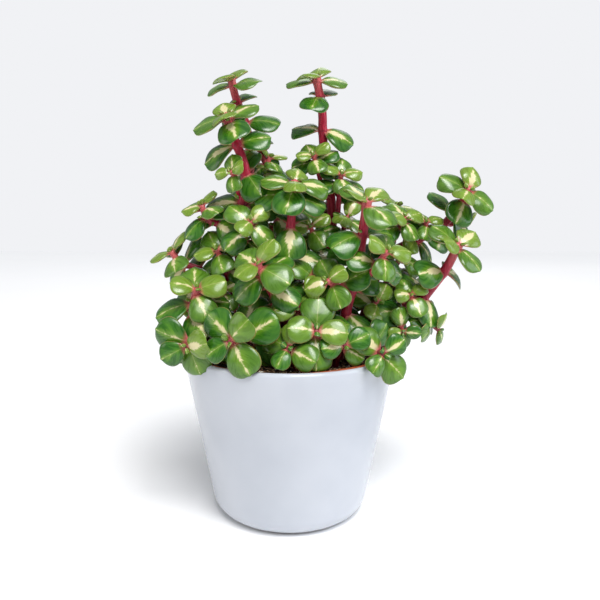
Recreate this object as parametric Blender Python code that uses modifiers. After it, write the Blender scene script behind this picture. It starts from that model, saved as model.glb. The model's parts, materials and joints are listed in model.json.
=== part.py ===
"""A potted elephant bush: a bushy, variegated succulent with red stems, in a plastic
nursery pot of soil that stands inside a plain white glazed cachepot.

The frame has its origin at the centre of the cachepot's flat foot, +Z up, and the
front of the plant faces -Y. Every length is in metres.
"""

import math
import random
from collections import namedtuple

import bmesh
import bpy
from mathutils import Quaternion, Vector
from mathutils.bvhtree import BVHTree

MM = 0.001
GAP = 0.3 * MM  # kept free between any two separate pieces

# Cachepot: glazed ceramic, thrown or slip cast in one piece.
POT_RIM_RADIUS = 65 * MM
POT_FOOT_RADIUS = 46 * MM  # where the line of the wall meets the ground
POT_HEIGHT = 100 * MM
POT_WALL = 4.0 * MM
POT_FLOOR = 5.0 * MM
POT_FOOT_ROUNDING = 12 * MM
POT_INNER_ROUNDING = 6 * MM

# Nursery pot: thin moulded plastic, standing loose in the cachepot.
NURSERY_WALL = 1.2 * MM
NURSERY_CLEARANCE = 0.8 * MM  # to the cachepot's wall, all round
NURSERY_RISE = -1.2 * MM  # its rim beside the cachepot's rim
NURSERY_LIP_WIDTH = 2.4 * MM
NURSERY_LIP_HEIGHT = 4.0 * MM
NURSERY_FOOT_ROUNDING = POT_INNER_ROUNDING + 1 * MM  # sits clear of the corner inside
DRAIN_HOLE_RADIUS = 4.0 * MM
DRAIN_HOLE_CIRCLE = 24 * MM
DRAIN_HOLE_COUNT = 5

# Potting mix, filled to just under the rim.
SOIL_DROP = 1.0 * MM  # below the nursery pot's rim
SOIL_DOMING = 1.2 * MM
PLANTING_DEPTH = 12 * MM
SOCKET_CLEARANCE = 0.5 * MM  # round each stem where it enters the soil

# Plant. The routes further down are for a plant of the design height and spread.
DESIGN_HEIGHT = 166 * MM
DESIGN_SPREAD = 200 * MM
PLANT_HEIGHT = 166 * MM
PLANT_SPREAD = 200 * MM
STEM_GIRTH = 1.0  # multiplies every stem's radius
LEAF_SIZE = 1.0  # multiplies every leaf's length
LEAF_WIDTH = 0.90  # at its widest, of its length
LEAF_WIDENING = 0.80  # powers of the distance from the leaf's foot and from its tip
LEAF_NARROWING = 0.46
LEAF_MIDDLE = 0.56  # where it is thickest, of its length
LEAF_THICKNESS = 2.0 * MM
LEAF_ARCH = 0.10  # how far its tip bends back, of its length
LEAF_SEAT = 0.35  # how far out in the stem a leaf starts, of the stem's radius
LEAF_ROOM = GAP  # kept free all round a leaf
STALK_ROOM = 1.6 * MM  # beside its own stem, where a leaf may touch its shoot
SHORTEST_BLADE = 0.3  # of a leaf, that has to stand clear of its own stem
BARE_FOOT = 2.0 * MM  # of a shoot, with no leaves
RIM_MARGIN = 1.2 * MM  # between the leaves and the pot or the soil
LIGHT_REACH = 80 * MM  # how far out a leaf sits before it faces well outwards
LIGHT_REACH_ACROSS = 130 * MM  # the same, to the left or right
LIGHT_FROM_FRONT = 0.95
LIGHT_FROM_ABOVE = 0.6
SHOOT_SEAT = 1.12  # how far out a side shoot starts, in radii of its parent
SHOOT_RUN = 1.8  # how far it first grows straight out, in its own radii

TURNED_STEPS = 36
LENS_SIDES = 8
SHARP_ANGLE = math.radians(40)
MERGE_WITHIN = 0.01 * MM

POT_SLOPE = (POT_RIM_RADIUS - POT_FOOT_RADIUS) / POT_HEIGHT
POT_SLANT = math.hypot(1, POT_SLOPE)
NURSERY_BASE = POT_FLOOR + GAP
NURSERY_TOP = POT_HEIGHT + NURSERY_RISE
SOIL_BASE = NURSERY_BASE + NURSERY_WALL + GAP
SOIL_LEVEL = NURSERY_TOP - SOIL_DROP


def wall_radius(height, inset):
    """The radius of a cone that lies this far inside the cachepot's outer wall."""
    return POT_FOOT_RADIUS + POT_SLOPE * height - inset * POT_SLANT


CACHEPOT_INSIDE = POT_WALL
NURSERY_OUTSIDE = CACHEPOT_INSIDE + NURSERY_CLEARANCE
NURSERY_INSIDE = NURSERY_OUTSIDE + NURSERY_WALL
SOIL_OUTSIDE = NURSERY_INSIDE + GAP


# ---------------------------------------------------------------- scene and materials


def clear_scene():
    for obj in list(bpy.data.objects):
        bpy.data.objects.remove(obj, do_unlink=True)


def new_collection(name):
    collection = bpy.data.collections.new(name)
    bpy.context.scene.collection.children.link(collection)
    return collection


def linear(code):
    """A linear colour from an sRGB hex code."""
    channels = [int(code[i : i + 2], 16) / 255 for i in (0, 2, 4)]
    return tuple(c / 12.92 if c <= 0.04045 else ((c + 0.055) / 1.055) ** 2.4 for c in channels)


def new_material(name, colour, roughness, metallic=0.0):
    material = bpy.data.materials.new(name)
    material.use_nodes = True
    shader = material.node_tree.nodes["Principled BSDF"]
    shader.inputs["Base Color"].default_value = (*linear(colour), 1)
    shader.inputs["Roughness"].default_value = roughness
    shader.inputs["Metallic"].default_value = metallic
    return material


def place(name, mesh, collection, material):
    mesh.shade_smooth()
    mesh.set_sharp_from_angle(angle=SHARP_ANGLE)
    obj = bpy.data.objects.new(name, mesh)
    collection.objects.link(obj)
    mesh.materials.append(material)
    return obj


# --------------------------------------------------------------------- turned pieces


def arc(centre, radius, start, end, steps):
    """Points (radius, height) on an arc, from one angle in degrees to the other."""
    points = []
    for i in range(steps + 1):
        angle = math.radians(start + (end - start) * i / steps)
        points.append((centre[0] + radius * math.cos(angle), centre[1] + radius * math.sin(angle)))
    return points


def rounded_foot(inset, base, rounding, steps):
    """The wall's bottom corner: points from the flat base up to the sloping wall."""
    slope = math.degrees(math.atan2(1, POT_SLOPE))
    corner = wall_radius(base, inset)
    centre = (corner - rounding * math.tan(math.radians(slope) / 2), base + rounding)
    return arc(centre, rounding, -90, slope - 90, steps)


def turned(name, profile, collection, material):
    """A closed body of revolution. The profile runs from the axis up the inside and down the outside."""
    mesh = bpy.data.meshes.new(name)
    points = [(radius, 0, height) for radius, height in profile]
    mesh.from_pydata(points, [(i, i + 1) for i in range(len(points) - 1)], [])
    obj = place(name, mesh, collection, material)
    screw = obj.modifiers.new("turn", "SCREW")
    screw.steps = TURNED_STEPS
    screw.render_steps = TURNED_STEPS
    screw.use_merge_vertices = True
    screw.merge_threshold = MERGE_WITHIN
    return obj


def make_cachepot(collection):
    inner_foot = rounded_foot(CACHEPOT_INSIDE, POT_FLOOR, POT_INNER_ROUNDING, 2)
    outer_foot = rounded_foot(0, 0, POT_FOOT_ROUNDING, 5)
    lip = POT_WALL / 2
    lip_height = POT_HEIGHT - lip
    lip_centre = (wall_radius(lip_height, lip), lip_height)
    profile = [(0, POT_FLOOR)]
    profile += inner_foot
    profile += arc(lip_centre, lip, 180, 0, 4)
    profile += reversed(outer_foot)
    profile.append((0, 0))
    glaze = new_material("white_glaze", "E4E8F0", 0.16)
    return turned("cachepot", profile, collection, glaze)


def make_nursery_pot(collection, cutters):
    inner_foot = rounded_foot(
        NURSERY_INSIDE, NURSERY_BASE + NURSERY_WALL, NURSERY_FOOT_ROUNDING - NURSERY_WALL, 2
    )
    outer_foot = rounded_foot(NURSERY_OUTSIDE, NURSERY_BASE, NURSERY_FOOT_ROUNDING, 2)
    lip_base = NURSERY_TOP - NURSERY_LIP_HEIGHT
    profile = [(0, NURSERY_BASE + NURSERY_WALL)]
    profile += inner_foot
    profile.append((wall_radius(lip_base, NURSERY_INSIDE), lip_base))
    profile.append((wall_radius(POT_HEIGHT, NURSERY_OUTSIDE) - NURSERY_LIP_WIDTH, NURSERY_TOP))
    profile.append((wall_radius(POT_HEIGHT, NURSERY_OUTSIDE), NURSERY_TOP))
    profile.append((wall_radius(POT_HEIGHT, NURSERY_OUTSIDE), POT_HEIGHT - NURSERY_WALL))
    profile += reversed(outer_foot)
    profile.append((0, NURSERY_BASE))
    plastic = new_material("terracotta_plastic", "A8502E", 0.55)
    pot = turned("nursery_pot", profile, collection, plastic)
    for i in range(DRAIN_HOLE_COUNT):
        angle = 2 * math.pi * i / DRAIN_HOLE_COUNT
        drill = new_drill(f"drain_hole_{i + 1}", cutters)
        drill.location = (
            DRAIN_HOLE_CIRCLE * math.cos(angle),
            DRAIN_HOLE_CIRCLE * math.sin(angle),
            NURSERY_BASE + NURSERY_WALL / 2,
        )
        combine(pot, drill, "DIFFERENCE")
    return pot


def new_drill(name, cutters):
    mesh = bpy.data.meshes.new(name)
    form = bmesh.new()
    bmesh.ops.create_cone(
        form,
        cap_ends=True,
        segments=8,
        radius1=DRAIN_HOLE_RADIUS,
        radius2=DRAIN_HOLE_RADIUS,
        depth=4 * NURSERY_WALL,
    )
    form.to_mesh(mesh)
    form.free()
    drill = bpy.data.objects.new(name, mesh)
    cutters.objects.link(drill)
    hide_helper(drill)
    return drill


def hide_helper(obj):
    obj.hide_render = True
    obj.display_type = "WIRE"


def combine(obj, other, operation):
    boolean = obj.modifiers.new(other.name, "BOOLEAN")
    boolean.operation = operation
    boolean.solver = "EXACT"
    boolean.object = other


def make_soil(collection, cutters, stems):
    """The root ball, domed a little on top, with a socket where each stem enters it."""
    shoulder = SOIL_LEVEL - SOIL_DOMING
    edge = wall_radius(shoulder, SOIL_OUTSIDE) - GAP
    heel = SOIL_BASE + NURSERY_FOOT_ROUNDING
    profile = [
        (0, SOIL_LEVEL),
        (edge / 2, SOIL_LEVEL - SOIL_DOMING / 3),
        (edge, shoulder),
        (wall_radius(heel, SOIL_OUTSIDE), heel),
        (wall_radius(SOIL_BASE, SOIL_OUTSIDE) - NURSERY_FOOT_ROUNDING, SOIL_BASE),
        (0, SOIL_BASE),
    ]
    earth = new_material("potting_mix", "3A2A1E", 0.95)
    soil = turned("soil", profile, collection, earth)
    for stem in stems:
        if stem.plan.parent is None:
            line = [stem.line[0] - Vector((0, 0, SOCKET_CLEARANCE)), *stem.line[1:3]]
            socket = rod_mesh(f"socket_{stem.plan.name}", line, stem.radii[:3], SOCKET_CLEARANCE)
            cutter = bpy.data.objects.new(f"socket_{stem.plan.name}", socket)
            cutters.objects.link(cutter)
            hide_helper(cutter)
            combine(soil, cutter, "DIFFERENCE")
    return soil


# ------------------------------------------------------------------------ the plant
#
# A shoot starts at the soil, where its parent is None, or at a fraction of the way
# along its parent. Then come its radius at the base and at the tip, the turn of its
# first pair of leaves about the stem, in degrees, and the length of a full-grown
# leaf. Then how far below the tip each pair of leaves grows, and the route: points
# (right, back, up) from the middle of the soil. All lengths here are millimetres.

Shoot = namedtuple("Shoot", "name parent start base_radius tip_radius turn leaf pairs route")

SHOOTS = (
    Shoot("front_centre_stem", None, 0.0, 3.0, 2.3, 90, 19,
          (0.6, 2.6, 5, 9, 25, 44, 58),
          ((11, -14, 0), (12, -16, 17), (5, -18, 39), (-2, -20, 61), (1, -22, 79), (1, -22, 91),
           (3, -22, 101))),
    Shoot("front_right_stem", None, 0.0, 3.3, 2.5, 42, 20,
          (0.8, 3, 19, 36, 50, 64),
          ((28, -20, 0), (30, -22, 16), (33, -26, 35), (38, -29, 51), (39, -30, 66), (41, -30, 80),
           (42, -30, 90))),
    Shoot("front_left_stem", None, 0.0, 3.6, 2.6, 90, 19.5,
          (0.8, 2.4, 5, 18, 35, 52, 70),
          ((-27, 4, 0), (-28, 0, 28), (-30, -4, 55), (-30, -6, 75), (-27, -8, 91), (-25, -9, 107),
           (-28, -9, 117), (-32, -9, 126), (-36, -9, 139))),
    Shoot("front_mid_shoot", None, 0.0, 2.8, 2.0, 40, 18,
          (0.6, 3, 9, 17, 26),
          ((2, -34, 0), (-3, -35, 26), (-9, -38, 39), (-14, -42, 50), (-17, -46, 57))),
    Shoot("front_low_left_shoot", None, 0.0, 2.8, 2.0, 45, 20,
          (0.5, 3, 10, 20),
          ((-8, -30, 0), (-9, -34, 19), (-18, -42, 19), (-26, -50, 18), (-31, -57, 18))),
    Shoot("front_low_shoot", None, 0.0, 2.6, 1.9, 0, 19,
          (0.5, 4, 10),
          ((14, -36, 0), (13, -44, 18), (14, -51, 22))),
    Shoot("front_low_right_shoot", None, 0.0, 2.8, 1.9, 45, 18,
          (0.5, 4, 13),
          ((36, -26, 0), (41, -34, 10), (47, -40, 8), (50, -47, 9))),
    Shoot("left_low_stem", None, 0.0, 2.8, 2.0, 20, 19.5,
          (0.6, 3, 10, 15, 26),
          ((-42, -18, 0), (-50, -28, 14), (-55, -30, 28), (-53, -31, 37), (-51, -34, 42))),
    Shoot("left_reach_stem", None, 0.0, 2.8, 1.8, 0, 17,
          (0.6, 4, 12, 21, 34, 48),
          ((-38, 4, 0), (-38, 0, 20), (-43, -2, 33), (-48, -4, 47), (-56, -6, 52), (-65, -6, 54),
           (-70, -6, 61))),
    Shoot("right_low_stem", None, 0.0, 4.3, 2.5, 45, 19.5,
          (0.6, 2.4, 19, 37, 52, 66),
          ((39, -10, 0), (53, -12, 12), (66, -12, 24), (77, -12, 33), (85, -12, 43), (92, -13, 53),
           (96, -19, 66))),
    Shoot("right_reach_stem", None, 0.0, 3.4, 2.3, 60, 19,
          (0.8, 3, 10, 22, 34, 50, 70),
          ((24, 24, 0), (37, 27, 36), (52, 28, 53), (72, 25, 63), (93, 16, 73), (101, 13, 83),
           (106, 8, 91), (106, -1, 98))),
    Shoot("rear_right_stem", None, 0.0, 3.0, 2.1, 10, 17,
          (0.8, 3, 12, 25, 38, 52, 66),
          ((33, 6, 0), (46, 6, 19), (54, 8, 46), (59, 9, 58), (62, 10, 77), (66, 10, 88))),
    Shoot("tall_centre_stem", None, 0.0, 3.6, 2.5, 70, 19,
          (0.8, 3, 12, 32, 49, 68, 88),
          ((12, 14, 0), (21, 13, 36), (26, 14, 67), (26, 15, 92), (22, 15, 113), (20, 15, 131),
           (20, 15, 146), (16, 15, 165))),
    Shoot("rear_left_stem", None, 0.0, 3.2, 2.3, 60, 18.5,
          (0.8, 4, 15, 27, 42, 58, 76),
          ((-10, 20, 0), (-21, 18, 29), (-17, 16, 64), (-17, 14, 92), (-21, 12, 113), (-24, 12, 122),
           (-26, 12, 137), (-32, 12, 150), (-35, 12, 163))),
    Shoot("left_high_shoot", "front_left_stem", 0.53, 2.4, 1.6, 30, 16,
          (0.5, 3, 8, 15, 23),
          ((-39, -8, 77), (-48, -10, 79), (-51, -10, 88))),
    Shoot("front_left_shoot", "front_left_stem", 0.70, 1.6, 1.2, 0, 12,
          (0.5, 3),
          ((-30, -18, 104), (-33, -22, 106))),
    Shoot("front_left_back_shoot", "front_left_stem", 0.72, 1.4, 1.1, 0, 10,
          (0.5,),
          ((-22, -2, 108), (-22, 0, 111))),
    Shoot("rear_left_shoot", "rear_left_stem", 0.74, 1.8, 1.4, 20, 14,
          (0.5, 3, 7),
          ((-14, 8, 112), (-12, 8, 117))),
    Shoot("tall_left_shoot", "tall_centre_stem", 0.60, 1.7, 1.3, 10, 14,
          (0.5, 3, 6),
          ((16, 8, 113), (14, 4, 118))),
    Shoot("tall_right_shoot", "tall_centre_stem", 0.52, 1.8, 1.3, 0, 15,
          (0.5, 3, 7),
          ((30, 8, 100), (31, 4, 107))),
    Shoot("mid_right_shoot", "front_right_stem", 0.45, 2.0, 1.5, 20, 16,
          (0.5, 4, 10),
          ((28, -34, 44), (20, -40, 47))),
    Shoot("mid_shoot", "front_centre_stem", 0.40, 1.8, 1.4, 70, 15,
          (0.5, 4, 9),
          ((9, -26, 45), (16, -30, 49))),
    Shoot("mid_low_shoot", "front_centre_stem", 0.18, 2.0, 1.5, 0, 17,
          (0.5, 4, 9),
          ((6, -32, 26), (4, -40, 33))),
    Shoot("rear_right_shoot", "rear_right_stem", 0.78, 1.7, 1.3, 30, 15,
          (0.5, 3, 7),
          ((66, -4, 76), (68, -7, 81))),
    Shoot("rear_right_low_shoot", "rear_right_stem", 0.50, 1.9, 1.4, 60, 16,
          (0.5, 4, 8),
          ((65, 0, 55), (69, -4, 60))),
    Shoot("reach_shoot", "right_reach_stem", 0.60, 1.7, 1.3, 0, 13,
          (0.5, 3, 6),
          ((83, 6, 72), (82, 2, 79))),
    Shoot("reach_under_shoot", "right_reach_stem", 0.82, 1.5, 1.2, 0, 12,
          (0.5, 4),
          ((109, 18, 82), (111, 22, 77))),
    Shoot("right_low_shoot", "right_low_stem", 0.50, 1.6, 1.2, 20, 13,
          (0.5, 3),
          ((71, -18, 34), (69, -22, 38))),
    Shoot("right_hang_shoot", "right_low_stem", 0.36, 1.6, 1.2, 60, 14,
          (0.5, 6, 12),
          ((79, -14, 22), (87, -16, 16))),
    Shoot("right_under_shoot", "right_low_stem", 0.24, 1.5, 1.1, 0, 12,
          (0.5, 4),
          ((64, -22, 19), (64, -27, 17))),
    Shoot("left_mid_shoot", "left_reach_stem", 0.42, 1.7, 1.3, 30, 13,
          (0.5, 4),
          ((-40, -12, 35), (-38, -18, 40))),
    Shoot("left_rim_shoot", "left_low_stem", 0.30, 1.8, 1.3, 30, 19,
          (0.5, 5),
          ((-54, -42, 15), (-55, -48, 13))),
    Shoot("mid_left_shoot", "front_left_stem", 0.30, 1.9, 1.4, 20, 17,
          (0.5, 3, 9, 16),
          ((-38, -12, 54), (-42, -18, 63))),
    Shoot("mid_left_front_shoot", "front_left_stem", 0.45, 1.8, 1.3, 50, 16,
          (0.5, 3, 9, 15),
          ((-25, -22, 73), (-21, -28, 79))),
    Shoot("mid_centre_shoot", "tall_centre_stem", 0.30, 1.8, 1.3, 20, 17,
          (0.5, 3, 9, 16),
          ((16, 2, 67), (12, -6, 76))),
    Shoot("mid_centre_right_shoot", "tall_centre_stem", 0.38, 1.8, 1.3, 60, 16,
          (0.5, 3, 9),
          ((33, 8, 75), (35, 4, 82))),
    Shoot("mid_rear_shoot", "rear_left_stem", 0.42, 1.8, 1.3, 30, 17,
          (0.5, 3, 9, 16),
          ((-10, 10, 75), (-7, 6, 83))),
    Shoot("mid_front_right_shoot", "front_right_stem", 0.60, 1.8, 1.3, 10, 16,
          (0.5, 4, 10),
          ((47, -38, 57), (52, -42, 63))),
    Shoot("right_mid_shoot", "rear_right_stem", 0.32, 1.8, 1.3, 50, 16,
          (0.5, 3, 9, 16),
          ((64, 2, 40), (68, -2, 46))),
    Shoot("upper_left_shoot", "rear_left_stem", 0.60, 1.6, 1.2, 40, 15,
          (0.5, 3, 8),
          ((-26, 20, 95), (-29, 22, 101))),
    Shoot("rear_upper_shoot", "tall_centre_stem", 0.46, 1.8, 1.3, 10, 16,
          (0.5, 3, 9, 15),
          ((21, 28, 89), (19, 34, 97))),
    Shoot("low_front_left_shoot", None, 0.0, 2.4, 1.8, 30, 18,
          (0.5, 4, 11, 19),
          ((-16, -16, 0), (-15, -22, 22), (-13, -26, 33))),
    Shoot("low_front_shoot", None, 0.0, 2.2, 1.7, 60, 17,
          (0.5, 4, 9),
          ((4, -44, 0), (1, -50, 11), (-1, -55, 14))),
    Shoot("low_front_right_shoot", None, 0.0, 2.2, 1.7, 20, 17,
          (0.5, 4, 10),
          ((25, -35, 0), (27, -42, 10), (29, -49, 14))),
    Shoot("low_left_shoot", None, 0.0, 2.2, 1.7, 45, 16,
          (0.5, 4, 9),
          ((-28, -28, 0), (-21, -36, 11), (-23, -42, 13))),
    Shoot("low_left_rear_shoot", None, 0.0, 2.4, 1.7, 10, 17,
          (0.5, 4, 11, 19),
          ((-44, -2, 0), (-44, -8, 17), (-48, -14, 26), (-48, -18, 30))),
    Shoot("low_right_shoot", None, 0.0, 2.4, 1.8, 70, 18,
          (0.5, 4, 10, 18),
          ((30, -6, 0), (47, -10, 23), (51, -16, 32))),
    Shoot("low_right_rear_shoot", None, 0.0, 2.6, 1.8, 20, 17,
          (0.5, 4, 12, 22, 32),
          ((46, 12, 0), (65, 12, 18), (73, 14, 30), (78, 14, 41))),
    Shoot("rear_mid_stem", None, 0.0, 3.0, 2.1, 20, 18,
          (0.8, 4, 14, 26, 40, 54),
          ((-4, 42, 0), (-5, 52, 17), (-2, 58, 51), (-3, 60, 69))),
    Shoot("rear_left_low_stem", None, 0.0, 2.9, 2.0, 50, 18,
          (0.8, 4, 13, 24, 36, 48),
          ((-30, 28, 0), (-34, 40, 26), (-46, 48, 47), (-52, 54, 62))),
    Shoot("rear_right_low_stem", None, 0.0, 2.9, 2.0, 10, 18,
          (0.8, 4, 13, 24, 36),
          ((28, 42, 0), (33, 54, 16), (45, 62, 33), (53, 66, 46))),
    Shoot("rear_low_shoot", None, 0.0, 2.4, 1.7, 45, 17,
          (0.5, 5, 13),
          ((10, 48, 0), (12, 54, 11), (15, 60, 17))),
    Shoot("rear_left_rim_shoot", None, 0.0, 2.4, 1.7, 30, 17,
          (0.5, 5, 13),
          ((-30, 44, 0), (-37, 52, 13), (-43, 58, 19))),
    Shoot("rear_right_rim_shoot", None, 0.0, 2.6, 1.7, 0, 17,
          (0.5, 5, 13, 22),
          ((43, 24, 0), (54, 30, 15), (68, 36, 22))),
)

Stem = namedtuple("Stem", "plan line radii lengths")
Leaf = namedtuple("Leaf", "foot along across up length thickness")

# From the tip down: how steeply a pair rises from square across the stem, in degrees,
# its length beside a full-grown leaf's, and how far it turns its face to the light.
PAIR_RISE = (34, 12, 2, -8, -14, -16, -18)
PAIR_SIZE = (0.8, 0.98, 1.02, 1.04, 1.04, 1.04, 1.0)
PAIR_TURN_TO_LIGHT = (0.42, 0.52, 0.62, 0.72, 0.76, 0.78, 0.78)


def route_point(point):
    right, back, up = point
    return Vector(
        (
            right * MM * PLANT_SPREAD / DESIGN_SPREAD,
            back * MM * PLANT_SPREAD / DESIGN_SPREAD,
            SOIL_LEVEL + up * MM * PLANT_HEIGHT / DESIGN_HEIGHT,
        )
    )


def walk(stem, distance):
    """The point, direction and radius this far down from the stem's tip."""
    above_foot = max(stem.lengths[-1] - distance, 0)
    index = len(stem.line) - 2
    while index > 0 and stem.lengths[index] > above_foot:
        index -= 1
    low, high = stem.line[index], stem.line[index + 1]
    share = (above_foot - stem.lengths[index]) / (stem.lengths[index + 1] - stem.lengths[index])
    radius = stem.radii[index] + (stem.radii[index + 1] - stem.radii[index]) * share
    return low.lerp(high, share), (high - low).normalized(), radius


def grow_stem(plan, grown):
    """The stem's line. A rooted one starts in the soil, a side shoot just outside its parent's skin."""
    line = [route_point(point) for point in plan.route]
    if plan.parent is None:
        line.insert(0, line[0] - Vector((0, 0, PLANTING_DEPTH)))
    else:
        parent = grown[plan.parent]
        node, upward, girth = walk(parent, parent.lengths[-1] * (1 - plan.start))
        outward = line[0] - node
        outward = (outward - upward * outward.dot(upward)).normalized()
        foot = node + outward * (girth * SHOOT_SEAT + GAP)
        line = [foot, foot + outward * plan.base_radius * MM * SHOOT_RUN, *line]
    lengths = [0.0]
    for low, high in zip(line, line[1:]):
        lengths.append(lengths[-1] + (high - low).length)
    thick = plan.base_radius * MM * STEM_GIRTH
    thin = plan.tip_radius * MM * STEM_GIRTH
    radii = [thick + (thin - thick) * length / lengths[-1] for length in lengths]
    return Stem(plan, line, radii, lengths)


def rod_mesh(name, line, radii, swelling=0.0):
    """A closed tube along the line, from a bevelled curve whose caps are welded on."""
    curve = bpy.data.curves.new(name, "CURVE")
    curve.dimensions = "3D"
    curve.bevel_depth = 1.0
    curve.bevel_resolution = 1
    curve.use_fill_caps = True
    spline = curve.splines.new("POLY")
    spline.points.add(len(line) - 1)
    for point, place_at, radius in zip(spline.points, line, radii):
        point.co = (*place_at, 1)
        point.radius = radius + swelling
    tube = bpy.data.objects.new(name, curve)
    bpy.context.scene.collection.objects.link(tube)
    evaluated = tube.evaluated_get(bpy.context.evaluated_depsgraph_get())
    mesh = bpy.data.meshes.new_from_object(evaluated)
    bpy.data.objects.remove(tube)
    bpy.data.curves.remove(curve)
    form = bmesh.new()
    form.from_mesh(mesh)
    bmesh.ops.remove_doubles(form, verts=form.verts, dist=MERGE_WITHIN)
    bmesh.ops.recalc_face_normals(form, faces=form.faces)
    form.to_mesh(mesh)
    form.free()
    return mesh


def rod_form(stem):
    mesh = rod_mesh("rod", stem.line, stem.radii)
    form = bmesh.new()
    form.from_mesh(mesh)
    bpy.data.meshes.remove(mesh)
    return form


def light_from(point):
    """Where the light falls on a leaf from: above and in front, and outwards from the middle."""
    light = Vector((point.x / LIGHT_REACH_ACROSS, point.y / LIGHT_REACH - LIGHT_FROM_FRONT, LIGHT_FROM_ABOVE))
    return light.normalized()


def leaf_at(stem, distance, heading, rise, to_light, length):
    """A leaf on the stem. Heading 0 points right, and 90 away from the front."""
    node, upward, girth = walk(stem, distance)
    right = Vector((1, 0, 0))
    right = (right - upward * right.dot(upward)).normalized()
    away = upward.cross(right)
    outward = right * math.cos(math.radians(heading)) + away * math.sin(math.radians(heading))
    along = outward * math.cos(math.radians(rise)) + upward * math.sin(math.radians(rise))
    across = upward.cross(outward).normalized()
    up = along.cross(across)
    turn = Quaternion().slerp(up.rotation_difference(light_from(node)), to_light)
    along = turn @ along
    across = turn @ across
    foot = node + outward * girth * LEAF_SEAT
    return Leaf(foot, along, across, along.cross(across), length, LEAF_THICKNESS)


def leaf_bulge(share):
    return share**LEAF_WIDENING * (1 - share) ** LEAF_NARROWING


def leaf_outline(share):
    """Half the leaf's width at this share of its length, of its length: round, narrowing to a stalk."""
    widest = LEAF_WIDENING / (LEAF_WIDENING + LEAF_NARROWING)
    return LEAF_WIDTH / 2 * leaf_bulge(share) / leaf_bulge(widest)


def leaf_point(leaf, share, side, lift):
    """A point of the leaf: along its length, across its width and off its middle surface."""
    bend = -LEAF_ARCH * share**2 * leaf.length
    return (
        leaf.foot
        + leaf.along * share * leaf.length
        + leaf.across * side
        + leaf.up * (bend + lift)
    )


def lens_form(leaf, start=0.0, swelling=0.0):
    """A thin closed leaf: a sphere of two stacks drawn out to the leaf's outline, from start to its tip."""
    form = bmesh.new()
    bmesh.ops.create_uvsphere(form, u_segments=LENS_SIDES, v_segments=2, radius=1)
    for vertex in form.verts:
        if abs(vertex.co.z) > 0.5:
            lift = math.copysign(leaf.thickness / 2 + swelling, vertex.co.z)
            vertex.co = leaf_point(leaf, LEAF_MIDDLE, 0, lift)
            continue
        share = start + (1 - start) * (1 - vertex.co.x) / 2
        side = math.copysign(leaf_outline(share) * leaf.length + swelling, vertex.co.y)
        on_midline = abs(vertex.co.y) < 0.01
        vertex.co = leaf_point(leaf, share, 0 if on_midline else side, 0)
    bmesh.ops.recalc_face_normals(form, faces=form.faces)
    return form


def clear_of_pot(point):
    radius = math.hypot(point.x, point.y)
    if point.z > NURSERY_TOP + RIM_MARGIN:
        return True
    if radius > wall_radius(point.z, 0) + RIM_MARGIN:
        return point.z > RIM_MARGIN
    if radius < wall_radius(NURSERY_TOP, NURSERY_INSIDE) - NURSERY_LIP_WIDTH - RIM_MARGIN:
        return point.z > SOIL_LEVEL + RIM_MARGIN
    return False


def tree_of(forms):
    points = []
    faces = []
    for form in forms:
        first = len(points)
        form.verts.index_update()
        points += [vertex.co.copy() for vertex in form.verts]
        faces += [[first + vertex.index for vertex in face.verts] for face in form.faces]
    return BVHTree.FromPolygons(points, faces)


# A leaf that would touch its neighbours is pushed aside, tilted or stunted by them.
# Each try turns it, raises it and shortens it by this much, and a leaf that finds no
# room has dropped off.
LEAF_TRIES = [
    (turn, lift, share)
    for share in (1.0, 0.86, 0.74, 0.62)
    for turn in (0, 14, -14, 28, -28, 42, -42)
    for lift in (0, 14, -14, 28, -28)
]


def grow_leaves(stems, rods):
    """Every shoot's leaves, placed so that none touches another or a stem."""
    leaves = {}
    finished = []
    for stem in stems:
        own_stem = rods[stem.plan.name]
        own_leaves = []
        others = tree_of([rod for rod in rods.values() if rod != own_stem] + finished)
        chance = random.Random(stem.plan.name)
        leaves[stem.plan.name] = []
        for order, below in enumerate(stem.plan.pairs):
            for side in (0, 180):
                heading = stem.plan.turn + 90 * order + side + chance.uniform(-9, 9)
                rise = PAIR_RISE[order] + chance.uniform(-8, 8)
                to_light = PAIR_TURN_TO_LIGHT[order] * chance.uniform(0.75, 1.15)
                length = PAIR_SIZE[order] * chance.uniform(0.9, 1.06) * stem.plan.leaf * MM * LEAF_SIZE
                growth = (stem, below * MM, heading, rise, to_light, length)
                leaf = find_room(growth, tree_of([own_stem] + own_leaves), others)
                if leaf is not None:
                    leaves[stem.plan.name].append(leaf)
                    own_leaves.append(lens_form(leaf))
        finished += own_leaves
    for form in finished:
        form.free()
    return leaves


def find_room(growth, own, others):
    """The first try at this leaf that has room round it, or None. Its stalk may touch its own shoot."""
    stem, below, heading, rise, to_light, length = growth
    if below > stem.lengths[-1] - BARE_FOOT:
        return None
    girth = walk(stem, below)[2]
    for turn, lift, share in LEAF_TRIES:
        leaf = leaf_at(stem, below, heading + turn, rise + lift, to_light, length * share)
        free_from = (girth * (1 - LEAF_SEAT) + STALK_ROOM) / leaf.length
        if free_from > 1 - SHORTEST_BLADE:
            continue
        whole = lens_form(leaf, 0.0, LEAF_ROOM)
        blade = lens_form(leaf, free_from, LEAF_ROOM)
        fits = all(clear_of_pot(vertex.co) for vertex in whole.verts)
        fits = fits and not tree_of([whole]).overlap(others)
        fits = fits and not tree_of([blade]).overlap(own)
        whole.free()
        blade.free()
        if fits:
            return leaf
    return None


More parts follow.
